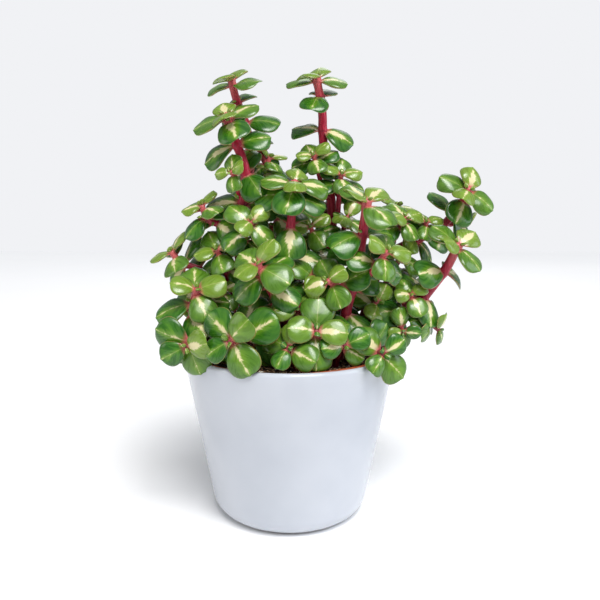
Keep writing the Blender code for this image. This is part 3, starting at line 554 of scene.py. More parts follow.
SHOOTS = (
    Shoot("front_centre_stem", None, 0.0, 3.0, 2.3, 90, 19,
          (0.6, 2.6, 5, 9, 25, 44, 58),
          ((11, -14, 0), (12, -16, 17), (5, -18, 39), (-2, -20, 61), (1, -22, 79), (1, -22, 91),
           (3, -22, 101))),
    Shoot("front_right_stem", None, 0.0, 3.3, 2.5, 42, 20,
          (0.8, 3, 19, 36, 50, 64),
          ((28, -20, 0), (30, -22, 16), (33, -26, 35), (38, -29, 51), (39, -30, 66), (41, -30, 80),
           (42, -30, 90))),
    Shoot("front_left_stem", None, 0.0, 3.6, 2.6, 90, 19.5,
          (0.8, 2.4, 5, 18, 35, 52, 70),
          ((-27, 4, 0), (-28, 0, 28), (-30, -4, 55), (-30, -6, 75), (-27, -8, 91), (-25, -9, 107),
           (-28, -9, 117), (-32, -9, 126), (-36, -9, 139))),
    Shoot("front_mid_shoot", None, 0.0, 2.8, 2.0, 40, 18,
          (0.6, 3, 9, 17, 26),
          ((2, -34, 0), (-3, -35, 26), (-9, -38, 39), (-14, -42, 50), (-17, -46, 57))),
    Shoot("front_low_left_shoot", None, 0.0, 2.8, 2.0, 45, 20,
          (0.5, 3, 10, 20),
          ((-8, -30, 0), (-9, -34, 19), (-18, -42, 19), (-26, -50, 18), (-31, -57, 18))),
    Shoot("front_low_shoot", None, 0.0, 2.6, 1.9, 0, 19,
          (0.5, 4, 10),
          ((14, -36, 0), (13, -44, 18), (14, -51, 22))),
    Shoot("front_low_right_shoot", None, 0.0, 2.8, 1.9, 45, 18,
          (0.5, 4, 13),
          ((36, -26, 0), (41, -34, 10), (47, -40, 8), (50, -47, 9))),
    Shoot("left_low_stem", None, 0.0, 2.8, 2.0, 20, 19.5,
          (0.6, 3, 10, 15, 26),
          ((-42, -18, 0), (-50, -28, 14), (-55, -30, 28), (-53, -31, 37), (-51, -34, 42))),
    Shoot("left_reach_stem", None, 0.0, 2.8, 1.8, 0, 17,
          (0.6, 4, 12, 21, 34, 48),
          ((-38, 4, 0), (-38, 0, 20), (-43, -2, 33), (-48, -4, 47), (-56, -6, 52), (-65, -6, 54),
           (-70, -6, 61))),
    Shoot("right_low_stem", None, 0.0, 4.3, 2.5, 45, 19.5,
          (0.6, 2.4, 19, 37, 52, 66),
          ((39, -10, 0), (53, -12, 12), (66, -12, 24), (77, -12, 33), (85, -12, 43), (92, -13, 53),
           (96, -19, 66))),
    Shoot("right_reach_stem", None, 0.0, 3.4, 2.3, 60, 19,
          (0.8, 3, 10, 22, 34, 50, 70),
          ((24, 24, 0), (37, 27, 36), (52, 28, 53), (72, 25, 63), (93, 16, 73), (101, 13, 83),
           (106, 8, 91), (106, -1, 98))),
    Shoot("rear_right_stem", None, 0.0, 3.0, 2.1, 10, 17,
          (0.8, 3, 12, 25, 38, 52, 66),
          ((33, 6, 0), (46, 6, 19), (54, 8, 46), (59, 9, 58), (62, 10, 77), (66, 10, 88))),
    Shoot("tall_centre_stem", None, 0.0, 3.6, 2.5, 70, 19,
          (0.8, 3, 12, 32, 49, 68, 88),
          ((12, 14, 0), (21, 13, 36), (26, 14, 67), (26, 15, 92), (22, 15, 113), (20, 15, 131),
           (20, 15, 146), (16, 15, 165))),
    Shoot("rear_left_stem", None, 0.0, 3.2, 2.3, 60, 18.5,
          (0.8, 4, 15, 27, 42, 58, 76),
          ((-10, 20, 0), (-21, 18, 29), (-17, 16, 64), (-17, 14, 92), (-21, 12, 113), (-24, 12, 122),
           (-26, 12, 137), (-32, 12, 150), (-35, 12, 163))),
    Shoot("left_high_shoot", "front_left_stem", 0.53, 2.4, 1.6, 30, 16,
          (0.5, 3, 8, 15, 23),
          ((-39, -8, 77), (-48, -10, 79), (-51, -10, 88))),
    Shoot("front_left_shoot", "front_left_stem", 0.70, 1.6, 1.2, 0, 12,
          (0.5, 3),
          ((-30, -18, 104), (-33, -22, 106))),
    Shoot("front_left_back_shoot", "front_left_stem", 0.72, 1.4, 1.1, 0, 10,
          (0.5,),
          ((-22, -2, 108), (-22, 0, 111))),
    Shoot("rear_left_shoot", "rear_left_stem", 0.74, 1.8, 1.4, 20, 14,
          (0.5, 3, 7),
          ((-14, 8, 112), (-12, 8, 117))),
    Shoot("tall_left_shoot", "tall_centre_stem", 0.60, 1.7, 1.3, 10, 14,
          (0.5, 3, 6),
          ((16, 8, 113), (14, 4, 118))),
    Shoot("tall_right_shoot", "tall_centre_stem", 0.52, 1.8, 1.3, 0, 15,
          (0.5, 3, 7),
          ((30, 8, 100), (31, 4, 107))),
    Shoot("mid_right_shoot", "front_right_stem", 0.45, 2.0, 1.5, 20, 16,
          (0.5, 4, 10),
          ((28, -34, 44), (20, -40, 47))),
    Shoot("mid_shoot", "front_centre_stem", 0.40, 1.8, 1.4, 70, 15,
          (0.5, 4, 9),
          ((9, -26, 45), (16, -30, 49))),
    Shoot("mid_low_shoot", "front_centre_stem", 0.18, 2.0, 1.5, 0, 17,
          (0.5, 4, 9),
          ((6, -32, 26), (4, -40, 33))),
    Shoot("rear_right_shoot", "rear_right_stem", 0.78, 1.7, 1.3, 30, 15,
          (0.5, 3, 7),
          ((66, -4, 76), (68, -7, 81))),
    Shoot("rear_right_low_shoot", "rear_right_stem", 0.50, 1.9, 1.4, 60, 16,
          (0.5, 4, 8),
          ((65, 0, 55), (69, -4, 60))),
    Shoot("reach_shoot", "right_reach_stem", 0.60, 1.7, 1.3, 0, 13,
          (0.5, 3, 6),
          ((83, 6, 72), (82, 2, 79))),
    Shoot("reach_under_shoot", "right_reach_stem", 0.82, 1.5, 1.2, 0, 12,
          (0.5, 4),
          ((109, 18, 82), (111, 22, 77))),
    Shoot("right_low_shoot", "right_low_stem", 0.50, 1.6, 1.2, 20, 13,
          (0.5, 3),
          ((71, -18, 34), (69, -22, 38))),
    Shoot("right_hang_shoot", "right_low_stem", 0.36, 1.6, 1.2, 60, 14,
          (0.5, 6, 12),
          ((79, -14, 22), (87, -16, 16))),
    Shoot("right_under_shoot", "right_low_stem", 0.24, 1.5, 1.1, 0, 12,
          (0.5, 4),
          ((64, -22, 19), (64, -27, 17))),
    Shoot("left_mid_shoot", "left_reach_stem", 0.42, 1.7, 1.3, 30, 13,
          (0.5, 4),
          ((-40, -12, 35), (-38, -18, 40))),
    Shoot("left_rim_shoot", "left_low_stem", 0.30, 1.8, 1.3, 30, 19,
          (0.5, 5),
          ((-54, -42, 15), (-55, -48, 13))),
    Shoot("mid_left_shoot", "front_left_stem", 0.30, 1.9, 1.4, 20, 17,
          (0.5, 3, 9, 16),
          ((-38, -12, 54), (-42, -18, 63))),
    Shoot("mid_left_front_shoot", "front_left_stem", 0.45, 1.8, 1.3, 50, 16,
          (0.5, 3, 9, 15),
          ((-25, -22, 73), (-21, -28, 79))),
    Shoot("mid_centre_shoot", "tall_centre_stem", 0.30, 1.8, 1.3, 20, 17,
          (0.5, 3, 9, 16),
          ((16, 2, 67), (12, -6, 76))),
    Shoot("mid_centre_right_shoot", "tall_centre_stem", 0.38, 1.8, 1.3, 60, 16,
          (0.5, 3, 9),
          ((33, 8, 75), (35, 4, 82))),
    Shoot("mid_rear_shoot", "rear_left_stem", 0.42, 1.8, 1.3, 30, 17,
          (0.5, 3, 9, 16),
          ((-10, 10, 75), (-7, 6, 83))),
    Shoot("mid_front_right_shoot", "front_right_stem", 0.60, 1.8, 1.3, 10, 16,
          (0.5, 4, 10),
          ((47, -38, 57), (52, -42, 63))),
    Shoot("right_mid_shoot", "rear_right_stem", 0.32, 1.8, 1.3, 50, 16,
          (0.5, 3, 9, 16),
          ((64, 2, 40), (68, -2, 46))),
    Shoot("upper_left_shoot", "rear_left_stem", 0.60, 1.6, 1.2, 40, 15,
          (0.5, 3, 8),
          ((-26, 20, 95), (-29, 22, 101))),
    Shoot("rear_upper_shoot", "tall_centre_stem", 0.46, 1.8, 1.3, 10, 16,
          (0.5, 3, 9, 15),
          ((21, 28, 89), (19, 34, 97))),
    Shoot("low_front_left_shoot", None, 0.0, 2.4, 1.8, 30, 18,
          (0.5, 4, 11, 19),
          ((-16, -16, 0), (-15, -22, 22), (-13, -26, 33))),
    Shoot("low_front_shoot", None, 0.0, 2.2, 1.7, 60, 17,
          (0.5, 4, 9),
          ((4, -44, 0), (1, -50, 11), (-1, -55, 14))),
    Shoot("low_front_right_shoot", None, 0.0, 2.2, 1.7, 20, 17,
          (0.5, 4, 10),
          ((25, -35, 0), (27, -42, 10), (29, -49, 14))),
    Shoot("low_left_shoot", None, 0.0, 2.2, 1.7, 45, 16,
          (0.5, 4, 9),
          ((-28, -28, 0), (-21, -36, 11), (-23, -42, 13))),
    Shoot("low_left_rear_shoot", None, 0.0, 2.4, 1.7, 10, 17,
          (0.5, 4, 11, 19),
          ((-44, -2, 0), (-44, -8, 17), (-48, -14, 26), (-48, -18, 30))),
    Shoot("low_right_shoot", None, 0.0, 2.4, 1.8, 70, 18,
          (0.5, 4, 10, 18),
          ((30, -6, 0), (47, -10, 23), (51, -16, 32))),
    Shoot("low_right_rear_shoot", None, 0.0, 2.6, 1.8, 20, 17,
          (0.5, 4, 12, 22, 32),
          ((46, 12, 0), (65, 12, 18), (73, 14, 30), (78, 14, 41))),
    Shoot("rear_mid_stem", None, 0.0, 3.0, 2.1, 20, 18,
          (0.8, 4, 14, 26, 40, 54),
          ((-4, 42, 0), (-5, 52, 17), (-2, 58, 51), (-3, 60, 69))),
    Shoot("rear_left_low_stem", None, 0.0, 2.9, 2.0, 50, 18,
          (0.8, 4, 13, 24, 36, 48),
          ((-30, 28, 0), (-34, 40, 26), (-46, 48, 47), (-52, 54, 62))),
    Shoot("rear_right_low_stem", None, 0.0, 2.9, 2.0, 10, 18,
          (0.8, 4, 13, 24, 36),
          ((28, 42, 0), (33, 54, 16), (45, 62, 33), (53, 66, 46))),
    Shoot("rear_low_shoot", None, 0.0, 2.4, 1.7, 45, 17,
          (0.5, 5, 13),
          ((10, 48, 0), (12, 54, 11), (15, 60, 17))),
    Shoot("rear_left_rim_shoot", None, 0.0, 2.4, 1.7, 30, 17,
          (0.5, 5, 13),
          ((-30, 44, 0), (-37, 52, 13), (-43, 58, 19))),
    Shoot("rear_right_rim_shoot", None, 0.0, 2.6, 1.7, 0, 17,
          (0.5, 5, 13, 22),
          ((43, 24, 0), (54, 30, 15), (68, 36, 22))),
)

Stem = namedtuple("Stem", "plan line radii lengths")
Leaf = namedtuple("Leaf", "foot along across up length order")

# From the tip down: how steeply a pair rises from square across the stem, in degrees,
# its length beside a full-grown leaf's, and how far it turns its face to the light.
PAIR_RISE = (34, 12, 2, -8, -14, -16, -18)
PAIR_SIZE = (0.8, 0.98, 1.02, 1.04, 1.04, 1.04, 1.0)
PAIR_TURN_TO_LIGHT = (0.42, 0.52, 0.62, 0.72, 0.76, 0.78, 0.78)


def route_point(point):
    """A point of a route, in the model's frame."""
    right, back, up = point
    return Vector((right * MM, back * MM, SOIL_TOP + up * MM))


def walk(stem, distance):
    """The point, direction and radius this far down from the stem's tip."""
    above_foot = max(stem.lengths[-1] - distance, 0)
    index = len(stem.line) - 2
    while index > 0 and stem.lengths[index] > above_foot:
        index -= 1
    low, high = stem.line[index], stem.line[index + 1]
    share = (above_foot - stem.lengths[index]) / (stem.lengths[index + 1] - stem.lengths[index])
    radius = stem.radii[index] + (stem.radii[index + 1] - stem.radii[index]) * share
    return low.lerp(high, share), (high - low).normalized(), radius


def grow_stem(plan, grown):
    """The stem's line. A rooted one starts in the mix, a side shoot just outside its parent's skin."""
    line = [route_point(point) for point in plan.route]
    if plan.parent is None:
        line.insert(0, line[0] - Vector((0, 0, PLANTING_DEPTH)))
    else:
        parent = grown[plan.parent]
        node, upward, girth = walk(parent, parent.lengths[-1] * (1 - plan.start))
        outward = line[0] - node
        outward = (outward - upward * outward.dot(upward)).normalized()
        foot = node + outward * (girth * SHOOT_SEAT + GAP)
        line = [foot, foot + outward * plan.base_radius * MM * SHOOT_RUN, *line]
    lengths = [0.0]
    for low, high in zip(line, line[1:]):
        lengths.append(lengths[-1] + (high - low).length)
    thick = plan.base_radius * MM
    thin = plan.tip_radius * MM
    radii = [thick + (thin - thick) * length / lengths[-1] for length in lengths]
    return Stem(plan, line, radii, lengths)


def rod_form(stem):
    """The room that a stem takes: a plain tube along its line."""
    curve = bpy.data.curves.new("rod", "CURVE")
    curve.dimensions = "3D"
    curve.bevel_depth = 1.0
    curve.bevel_resolution = 1
    curve.use_fill_caps = True
    spline = curve.splines.new("POLY")
    spline.points.add(len(stem.line) - 1)
    for point, place_at, radius in zip(spline.points, stem.line, stem.radii):
        point.co = (*place_at, 1)
        point.radius = radius
    tube = bpy.data.objects.new("rod", curve)
    bpy.context.scene.collection.objects.link(tube)
    mesh = bpy.data.meshes.new_from_object(tube.evaluated_get(bpy.context.evaluated_depsgraph_get()))
    bpy.data.objects.remove(tube)
    bpy.data.curves.remove(curve)
    form = bmesh.new()
    form.from_mesh(mesh)
    bpy.data.meshes.remove(mesh)
    bmesh.ops.remove_doubles(form, verts=form.verts, dist=0.01 * MM)
    return form


def light_from(point):
    """Where the light falls on a leaf from: above and in front, and outwards from the middle."""
    light = Vector((point.x / LIGHT_REACH_ACROSS, point.y / LIGHT_REACH - LIGHT_FROM_FRONT, LIGHT_FROM_ABOVE))
    return light.normalized()


def leaf_at(stem, distance, heading, rise, to_light, length, order):
    """A leaf on the stem. Heading 0 points right, and 90 away from the front."""
    node, upward, girth = walk(stem, distance)
    right = Vector((1, 0, 0))
    right = (right - upward * right.dot(upward)).normalized()
    away = upward.cross(right)
    outward = right * math.cos(math.radians(heading)) + away * math.sin(math.radians(heading))
    along = outward * math.cos(math.radians(rise)) + upward * math.sin(math.radians(rise))
    across = upward.cross(outward).normalized()
    up = along.cross(across)
    turn = Quaternion().slerp(up.rotation_difference(light_from(node)), to_light)
    along = turn @ along
    across = turn @ across
    foot = node + outward * girth * LEAF_SEAT
    return Leaf(foot, along, across, along.cross(across), length, order)


def leaf_bulge(share):
    """How far the leaf swells at this share of its length, on no particular scale."""
    return share**LEAF_WIDENING * (1 - share) ** LEAF_NARROWING


def leaf_outline(share):
    """Half the leaf's width at this share of its length, of its length: round, narrowing to a stalk."""
    widest = LEAF_WIDENING / (LEAF_WIDENING + LEAF_NARROWING)
    return LEAF_WIDTH / 2 * leaf_bulge(share) / leaf_bulge(widest)


def leaf_point(leaf, share, side, lift):
    """A point of the leaf: along its length, across its width and off its middle surface."""
    bend = -LEAF_ARCH * share**2 * leaf.length
    return (
        leaf.foot
        + leaf.along * share * leaf.length
        + leaf.across * side
        + leaf.up * (bend + lift)
    )


def lens_form(leaf, start=0.0, swelling=0.0):
    """The room that a leaf takes: a sphere of two stacks drawn out to the leaf's outline."""
    form = bmesh.new()
    bmesh.ops.create_uvsphere(form, u_segments=LENS_SIDES, v_segments=2, radius=1)
    for vertex in form.verts:
        if abs(vertex.co.z) > 0.5:
            lift = math.copysign(LEAF_THICKNESS / 2 + swelling, vertex.co.z)
            vertex.co = leaf_point(leaf, LEAF_MIDDLE, 0, lift)
            continue
        share = start + (1 - start) * (1 - vertex.co.x) / 2
        side = math.copysign(leaf_outline(share) * leaf.length + swelling, vertex.co.y)
        on_midline = abs(vertex.co.y) < 0.01
        vertex.co = leaf_point(leaf, share, 0 if on_midline else side, 0)
    return form


def clear_of_pot(point):
    """Whether a point of a leaf stands clear of the pots, the mix and the ground."""
    radius = math.hypot(point.x, point.y)
    if point.z > NURSERY_TOP + RIM_MARGIN:
        return True
    if radius > wall_radius(point.z, 0) + RIM_MARGIN:
        return point.z > RIM_MARGIN
    if radius < wall_radius(NURSERY_TOP, NURSERY_INSIDE) - NURSERY_LIP_WIDTH - RIM_MARGIN:
        return point.z > SOIL_TOP + RIM_MARGIN
    return False


def tree_of(forms):
    """One search tree for the faces of several forms."""
    points = []
    faces = []
    for form in forms:
        first = len(points)
        form.verts.index_update()
        points += [vertex.co.copy() for vertex in form.verts]
        faces += [[first + vertex.index for vertex in face.verts] for face in form.faces]
    return BVHTree.FromPolygons(points, faces)


# A leaf that would touch its neighbours is pushed aside, tilted or stunted by them.
# Each try turns it, raises it and shortens it by this much, and a leaf that finds no
# room has dropped off.
LEAF_TRIES = [
    (turn, lift, share)
    for share in (1.0, 0.86, 0.74, 0.62)
    for turn in (0, 14, -14, 28, -28, 42, -42)
    for lift in (0, 14, -14, 28, -28)
]


def find_room(growth, own, others):
    """The first try at this leaf that has room round it, or None. Its stalk may touch its own shoot."""
    stem, below, heading, rise, to_light, length, order = growth
    if below > stem.lengths[-1] - BARE_FOOT:
        return None
    girth = walk(stem, below)[2]
    for turn, lift, share in LEAF_TRIES:
        leaf = leaf_at(stem, below, heading + turn, rise + lift, to_light, length * share, order)
        free_from = (girth * (1 - LEAF_SEAT) + STALK_ROOM) / leaf.length
        if free_from > 1 - SHORTEST_BLADE:
            continue
        whole = lens_form(leaf, 0.0, LEAF_ROOM)
        blade = lens_form(leaf, free_from, LEAF_ROOM)
        fits = all(clear_of_pot(vertex.co) for vertex in whole.verts)
        fits = fits and not tree_of([whole]).overlap(others)
        fits = fits and not tree_of([blade]).overlap(own)
        whole.free()
        blade.free()
        if fits:
            return leaf
    return None


grown = {}
for plan in SHOOTS:
    grown[plan.name] = grow_stem(plan, grown)
rods = {name: rod_form(stem) for name, stem in grown.items()}
leaves = {}
finished = []
for name, stem in grown.items():
    own_leaves = []
    others = tree_of([rod for key, rod in rods.items() if key != name] + finished)
    chance = random.Random(name)
    leaves[name] = []
    for order, below in enumerate(stem.plan.pairs):
        for side in (0, 180):
            heading = stem.plan.turn + 90 * order + side + chance.uniform(-9, 9)
            rise = PAIR_RISE[order] + chance.uniform(-8, 8)
            to_light = PAIR_TURN_TO_LIGHT[order] * chance.uniform(0.75, 1.15)
            length = PAIR_SIZE[order] * chance.uniform(0.9, 1.06) * stem.plan.leaf * MM
            growth = (stem, below * MM, heading, rise, to_light, length, order)
            leaf = find_room(growth, tree_of([rods[name]] + own_leaves), others)
            if leaf is not None:
                leaves[name].append(leaf)
                own_leaves.append(lens_form(leaf))
    finished += own_leaves
for form in [*rods.values(), *finished]:
    form.free()

# ================================================================ stems
# Fleshy, smooth and crimson, thickened a little where each pair of leaves joins and ringed
# there with a fine scar. They are salmon pink at the growing tip and browner near the soil.

STEM_SIDES = 14
STEM_STEP = 1.1 * MM
NODE_SWELL = 0.13
NODE_LENGTH = 1.5 * MM
SCAR_WIDTH = 0.35 * MM
SCAR_DEPTH = 0.05 * MM
STEM_LUMP = 0.05  # of the stem's radius
STEM_LUMP_LENGTH = 9 * MM


def rounded_line(line):
    """The line with its corners cut twice, so that it bends instead of kinking."""
    for _ in range(2):
        cut = [line[0]]
        for low, high in zip(line, line[1:]):
            cut += [low.lerp(high, 0.25), low.lerp(high, 0.75)]
        line = [*cut, line[-1]]
    return line


def even_points(line, step):
    """Points at even steps along the line, both ends among them."""
    total = sum((high - low).length for low, high in zip(line, line[1:]))
    count = max(int(total / step), 4)
    spacing = total / count
    points = [line[0].copy()]
    carried = 0.0
    for low, high in zip(line, line[1:]):
        length = (high - low).length
        at = spacing - carried
        while at <= length and len(points) < count:
            points.append(low.lerp(high, at / length))
            at += spacing
        carried = length - (at - spacing)
    points.append(line[-1].copy())
    return points, total


def ring_frames(points):
    """Two directions square to the line at each point, turned as little as possible between points."""
    ahead = (points[1] - points[0]).normalized()
    side = ahead.orthogonal().normalized()
    frames = []
    for i, point in enumerate(points):
        before = points[max(i - 1, 0)]
        after = points[min(i + 1, len(points) - 1)]
        ahead = (after - before).normalized()
        side = (side - ahead * side.dot(ahead)).normalized()
        frames.append((side, ahead.cross(side)))
    return frames


def skin_rings(form, rings, start_point, end_point):
    """Quads between each ring of vertices and the next, and a fan to a point at each end."""
    count = len(rings[0])
    for low, high in zip(rings, rings[1:]):
        for i in range(count):
            after = (i + 1) % count
            form.faces.new((low[i], low[after], high[after], high[i]))
    for i in range(count):
        after = (i + 1) % count
        form.faces.new((start_point, rings[0][after], rings[0][i]))
        form.faces.new((end_point, rings[-1][i], rings[-1][after]))


def stem_form(stem):
    """The stem's own skin, with where each point of it lies, for its colours."""
    line = list(stem.line)
    if stem.plan.parent is not None:
        inward = (line[0] - line[1]).normalized()
        line.insert(0, line[0] + inward * stem.radii[0] * 0.9)
    points, total = even_points(rounded_line(line), STEM_STEP)
    frames = ring_frames(points)
    form = bmesh.new()
    spot = form.verts.layers.float_vector.new("stem_spot")
    rings = []
    thick, thin = stem.radii[0], stem.radii[-1]
    chance = random.Random(stem.plan.name + " stem")
    wobble = chance.uniform(0, 50)
    for i, (point, (side, other)) in enumerate(zip(points, frames)):
        share = i / (len(points) - 1)
        below = (1 - share) * total
        radius = thick + (thin - thick) * share
        nearest = min(abs(below - pair * MM) for pair in stem.plan.pairs)
        radius *= 1 + NODE_SWELL * math.exp(-((nearest / NODE_LENGTH) ** 2))
        scar = math.exp(-((nearest / SCAR_WIDTH) ** 2))
        radius -= SCAR_DEPTH * scar
        ring = []
        for k in range(STEM_SIDES):
            angle = 2 * math.pi * k / STEM_SIDES
            lump_at = Vector((math.cos(angle), math.sin(angle), wobble + below / STEM_LUMP_LENGTH))
            lump = 1 + STEM_LUMP * noise.noise(lump_at)
            outward = side * math.cos(angle) + other * math.sin(angle)
            vertex = form.verts.new(point + outward * radius * lump)
            vertex[spot] = Vector((below / MM, (point.z - SOIL_TOP) / MM, scar))
            ring.append(vertex)
        rings.append(ring)
    foot = form.verts.new(points[0])
    foot[spot] = rings[0][0][spot]
    crown = form.verts.new(points[-1] + (points[-1] - points[-2]).normalized() * thin * 0.6)
    crown[spot] = rings[-1][0][spot]
    skin_rings(form, rings, foot, crown)
    bmesh.ops.recalc_face_normals(form, faces=form.faces)
    return form


# Young succulent bark. A waxy skin over wet red tissue: IOR 1.42, satin, and light
# travels a little way in it. Streaks a few millimetres long run with the stem.
bark, tree, shader = new_finish(
    "crimson_stem_skin", Roughness=0.36, IOR=1.42, Subsurface_Weight=0.12, Subsurface_Scale=0.6 * MM
)
shader.inputs["Subsurface Radius"].default_value = (1.0, 0.25, 0.2)
stem_spot = add(tree, "ShaderNodeAttribute", attribute_name="stem_spot").outputs["Vector"]
stem_axes = add(tree, "ShaderNodeSeparateXYZ", {"Vector": stem_spot}).outputs
place_in_plant = add(tree, "ShaderNodeTexCoord").outputs["Object"]
STREAK_WIDTH = 0.9 * MM
STREAK_LENGTH = 6 * MM
stretched = add(
    tree, "ShaderNodeMapping",
    {"Vector": place_in_plant, "Scale": (1 / STREAK_WIDTH, 1 / STREAK_WIDTH, 1 / STREAK_LENGTH)},
)
streaks = add(tree, "ShaderNodeTexNoise", {"Vector": stretched.outputs["Vector"], "Scale": 1.0, "Detail": 3})
crimson = add(
    tree, "ShaderNodeValToRGB", {"Fac": streaks.outputs["Fac"]},
    stops=[(0.32, paint("8E0F28")), (0.52, paint("A81A36")), (0.70, paint("BE344C"))],
)
near_tip = add(
    tree, "ShaderNodeMapRange",
    {"Value": stem_axes["X"], "From Min": 1.0, "From Max": 14.0, "To Min": 0.75, "To Max": 0.0},
)
salmon = add(
    tree, "ShaderNodeMix", {0: near_tip.outputs["Result"], 6: crimson.outputs["Color"], 7: paint("D0706E")},
    data_type="RGBA",
)
near_soil = add(
    tree, "ShaderNodeMapRange",
    {"Value": stem_axes["Y"], "From Min": 4.0, "From Max": 46.0, "To Min": 0.9, "To Max": 0.0},
)
browned = add(
    tree, "ShaderNodeMix", {0: near_soil.outputs["Result"], 6: salmon.outputs[2], 7: paint("641A20")},
    data_type="RGBA",
)
scar_share = add(tree, "ShaderNodeMath", {0: stem_axes["Z"], 1: 0.55}, operation="MULTIPLY")
scarred = add(
    tree, "ShaderNodeMix", {0: scar_share.outputs[0], 6: browned.outputs[2], 7: paint("5C1A22")},
    data_type="RGBA",
)
tree.links.new(scarred.outputs[2], shader.inputs["Base Color"])
bump = add(
    tree, "ShaderNodeBump", {"Height": streaks.outputs["Fac"], "Strength": 0.35, "Distance": 0.08 * MM}
)
tree.links.new(bump.outputs["Normal"], shader.inputs["Normal"])

for name, stem in grown.items():
    stalk = piece_of(f"{name}_skin", stem_form(stem), bark)
    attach(stalk, "root")
    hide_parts(name)

# ================================================================ leaves
# Thick, rounded and glossy, on a stalk so short that it is only a pink pinch. Most have a
# cream stripe down the middle that feathers out into lime, then green, and all a fine pale
# edge that sun turns russet; the pale line is partly a painted highlight on the rounded rim.
# The pair at the tip is still small and yellowish.

LEAF_ROWS = 15
LEAF_SIDES = 18
STALK_WIDTH = 0.85 * MM  # half of it, and half its depth
STALK_DEPTH = 0.6 * MM
BLADE_WIDTH = 0.98  # of its length
BLADE_WIDENING = 0.76
BLADE_NARROWING = 0.46
BLADE_THICKNESS = 2.9 * MM
TIP_POINT = 0.45 * MM
# Leaves below this height above the mix are painted a darker green: painted shade under the canopy.
LOW_SHADE_REACH = 42 * MM  # above the mix, where leaves are in shade and have aged


def blade_half_width(share, fullness):
    """Half the blade's width at this share of its length, of its full width."""
    widening = BLADE_WIDENING * fullness
    widest = widening / (widening + BLADE_NARROWING)
    peak = widest**widening * (1 - widest) ** BLADE_NARROWING
    return share**widening * (1 - share) ** BLADE_NARROWING / peak / 2


def add_leaf(form, leaf, chance):
    """One leaf: rings round its cross-section from stalk to tip, domed, channelled and a little twisted."""
    spot = form.verts.layers.float_vector["leaf_spot"]
    self_layer = form.verts.layers.float_vector["leaf_self"]
    length = leaf.length
    small = min(length / (14 * MM), 1)
    fullness = chance.uniform(0.85, 1.25)
    width = length * BLADE_WIDTH * chance.uniform(0.92, 1.04) * (0.8 + 0.2 * small)
    thickness = BLADE_THICKNESS * (0.45 + 0.55 * small)
    channel = chance.uniform(0.03, 0.20)
    dome = chance.uniform(0.08, 0.26)
    twist = chance.uniform(-0.18, 0.18)
    lean = chance.uniform(-0.05, 0.05)
    arch = LEAF_ARCH * chance.uniform(0.4, 1.7)
    wave_at = chance.uniform(0, 6.28)
    # Painted shade: the lower a leaf sits over the mix, the darker its green. own.y holds the larger of this
    # and the leaf's age.
    painted_low_shade = (1 - (leaf.foot.z - SOIL_TOP) / LOW_SHADE_REACH) * chance.uniform(0.0, 0.7)
    own = Vector((chance.random(), min(max(leaf.order / 5, painted_low_shade), 1), chance.random()))
    rings = []
    for row in range(LEAF_ROWS):
        share = 0.5 - 0.5 * math.cos(math.pi * (row + 0.35) / (LEAF_ROWS - 0.15))
        stalk = (1 - share) ** 6
        half = math.hypot(blade_half_width(share, fullness) * width, STALK_WIDTH * small * stalk)
        deep = thickness / 2 * min(1, 1.5 * (1 - share) ** 0.5) * min(1, share / 0.3 + 0.3)
        deep = math.hypot(deep * (1 - stalk), STALK_DEPTH * small * stalk)
        turn = twist * share
        ring = []
        for k in range(LEAF_SIDES):
            angle = 2 * math.pi * k / LEAF_SIDES
            side = math.cos(angle)
            face = math.sin(angle)
            lift = math.copysign(abs(face) ** 0.75, face) * deep
            folded = channel * (1 - share) ** 1.2 * (math.sqrt(side * side + 0.02) - 0.14)
            domed = -dome * side * side * share
            waved = 0.02 * math.sin(wave_at + 9 * share + 2.5 * side) * abs(side)
            lift += (folded + domed + waved) * half * 2
            sideways = half * side + lean * length * share * share
            x = sideways * math.cos(turn) - lift * math.sin(turn)
            z = sideways * math.sin(turn) + lift * math.cos(turn)
            vertex = form.verts.new(
                leaf.foot
                + leaf.along * share * length
                + leaf.across * x
                + leaf.up * (z - arch * share * share * length)
            )
            vertex[spot] = Vector((side, share, face))
            vertex[self_layer] = own
            ring.append(vertex)
        rings.append(ring)
    heel = form.verts.new(leaf.foot)
    heel[spot] = Vector((0, 0, 0))
    heel[self_layer] = own
    tip_along = length + TIP_POINT * (0.5 + small / 2)
    tip = form.verts.new(
        leaf.foot
        + leaf.along * tip_along
        + leaf.across * lean * length
        + leaf.up * (-arch * length * 1.02)
    )
    tip[spot] = Vector((0, 1, 0))
    tip[self_layer] = own
    skin_rings(form, rings, heel, tip)


def bud_leaves(stem, chance):
    """The newest leaves, still folded together at the tip, and a few buds in the axils below."""
    found = []
    heading = stem.plan.turn + 90
    for side in (0, 180):
        size = chance.uniform(3.2, 4.6) * MM * min(stem.plan.leaf / 17, 1)
        found.append(leaf_at(stem, 0.0, heading + side, chance.uniform(52, 66), 0.05, size, 0))
    for order, below in enumerate(stem.plan.pairs):
        if order < 2 or below * MM > stem.lengths[-1] - 2 * BARE_FOOT:
            continue
        for side in (0, 180):
            if chance.random() < 0.4:
                heading = stem.plan.turn + 90 * order + side + chance.uniform(-12, 12)
                size = chance.uniform(3.0, 5.4) * MM
                above = max(below * MM - 1.6 * MM, 0)
                found.append(leaf_at(stem, above, heading, chance.uniform(30, 60), 0.3, size, 0))
    return found


def leaf_form(stem):
    """All the leaves of one shoot."""
    form = bmesh.new()
    form.verts.layers.float_vector.new("leaf_spot")
    form.verts.layers.float_vector.new("leaf_self")
    chance = random.Random(stem.plan.name + " leaves")
    for leaf in leaves[stem.plan.name] + bud_leaves(stem, chance):
        add_leaf(form, leaf, chance)
    bmesh.ops.recalc_face_normals(form, faces=form.faces)
    return form


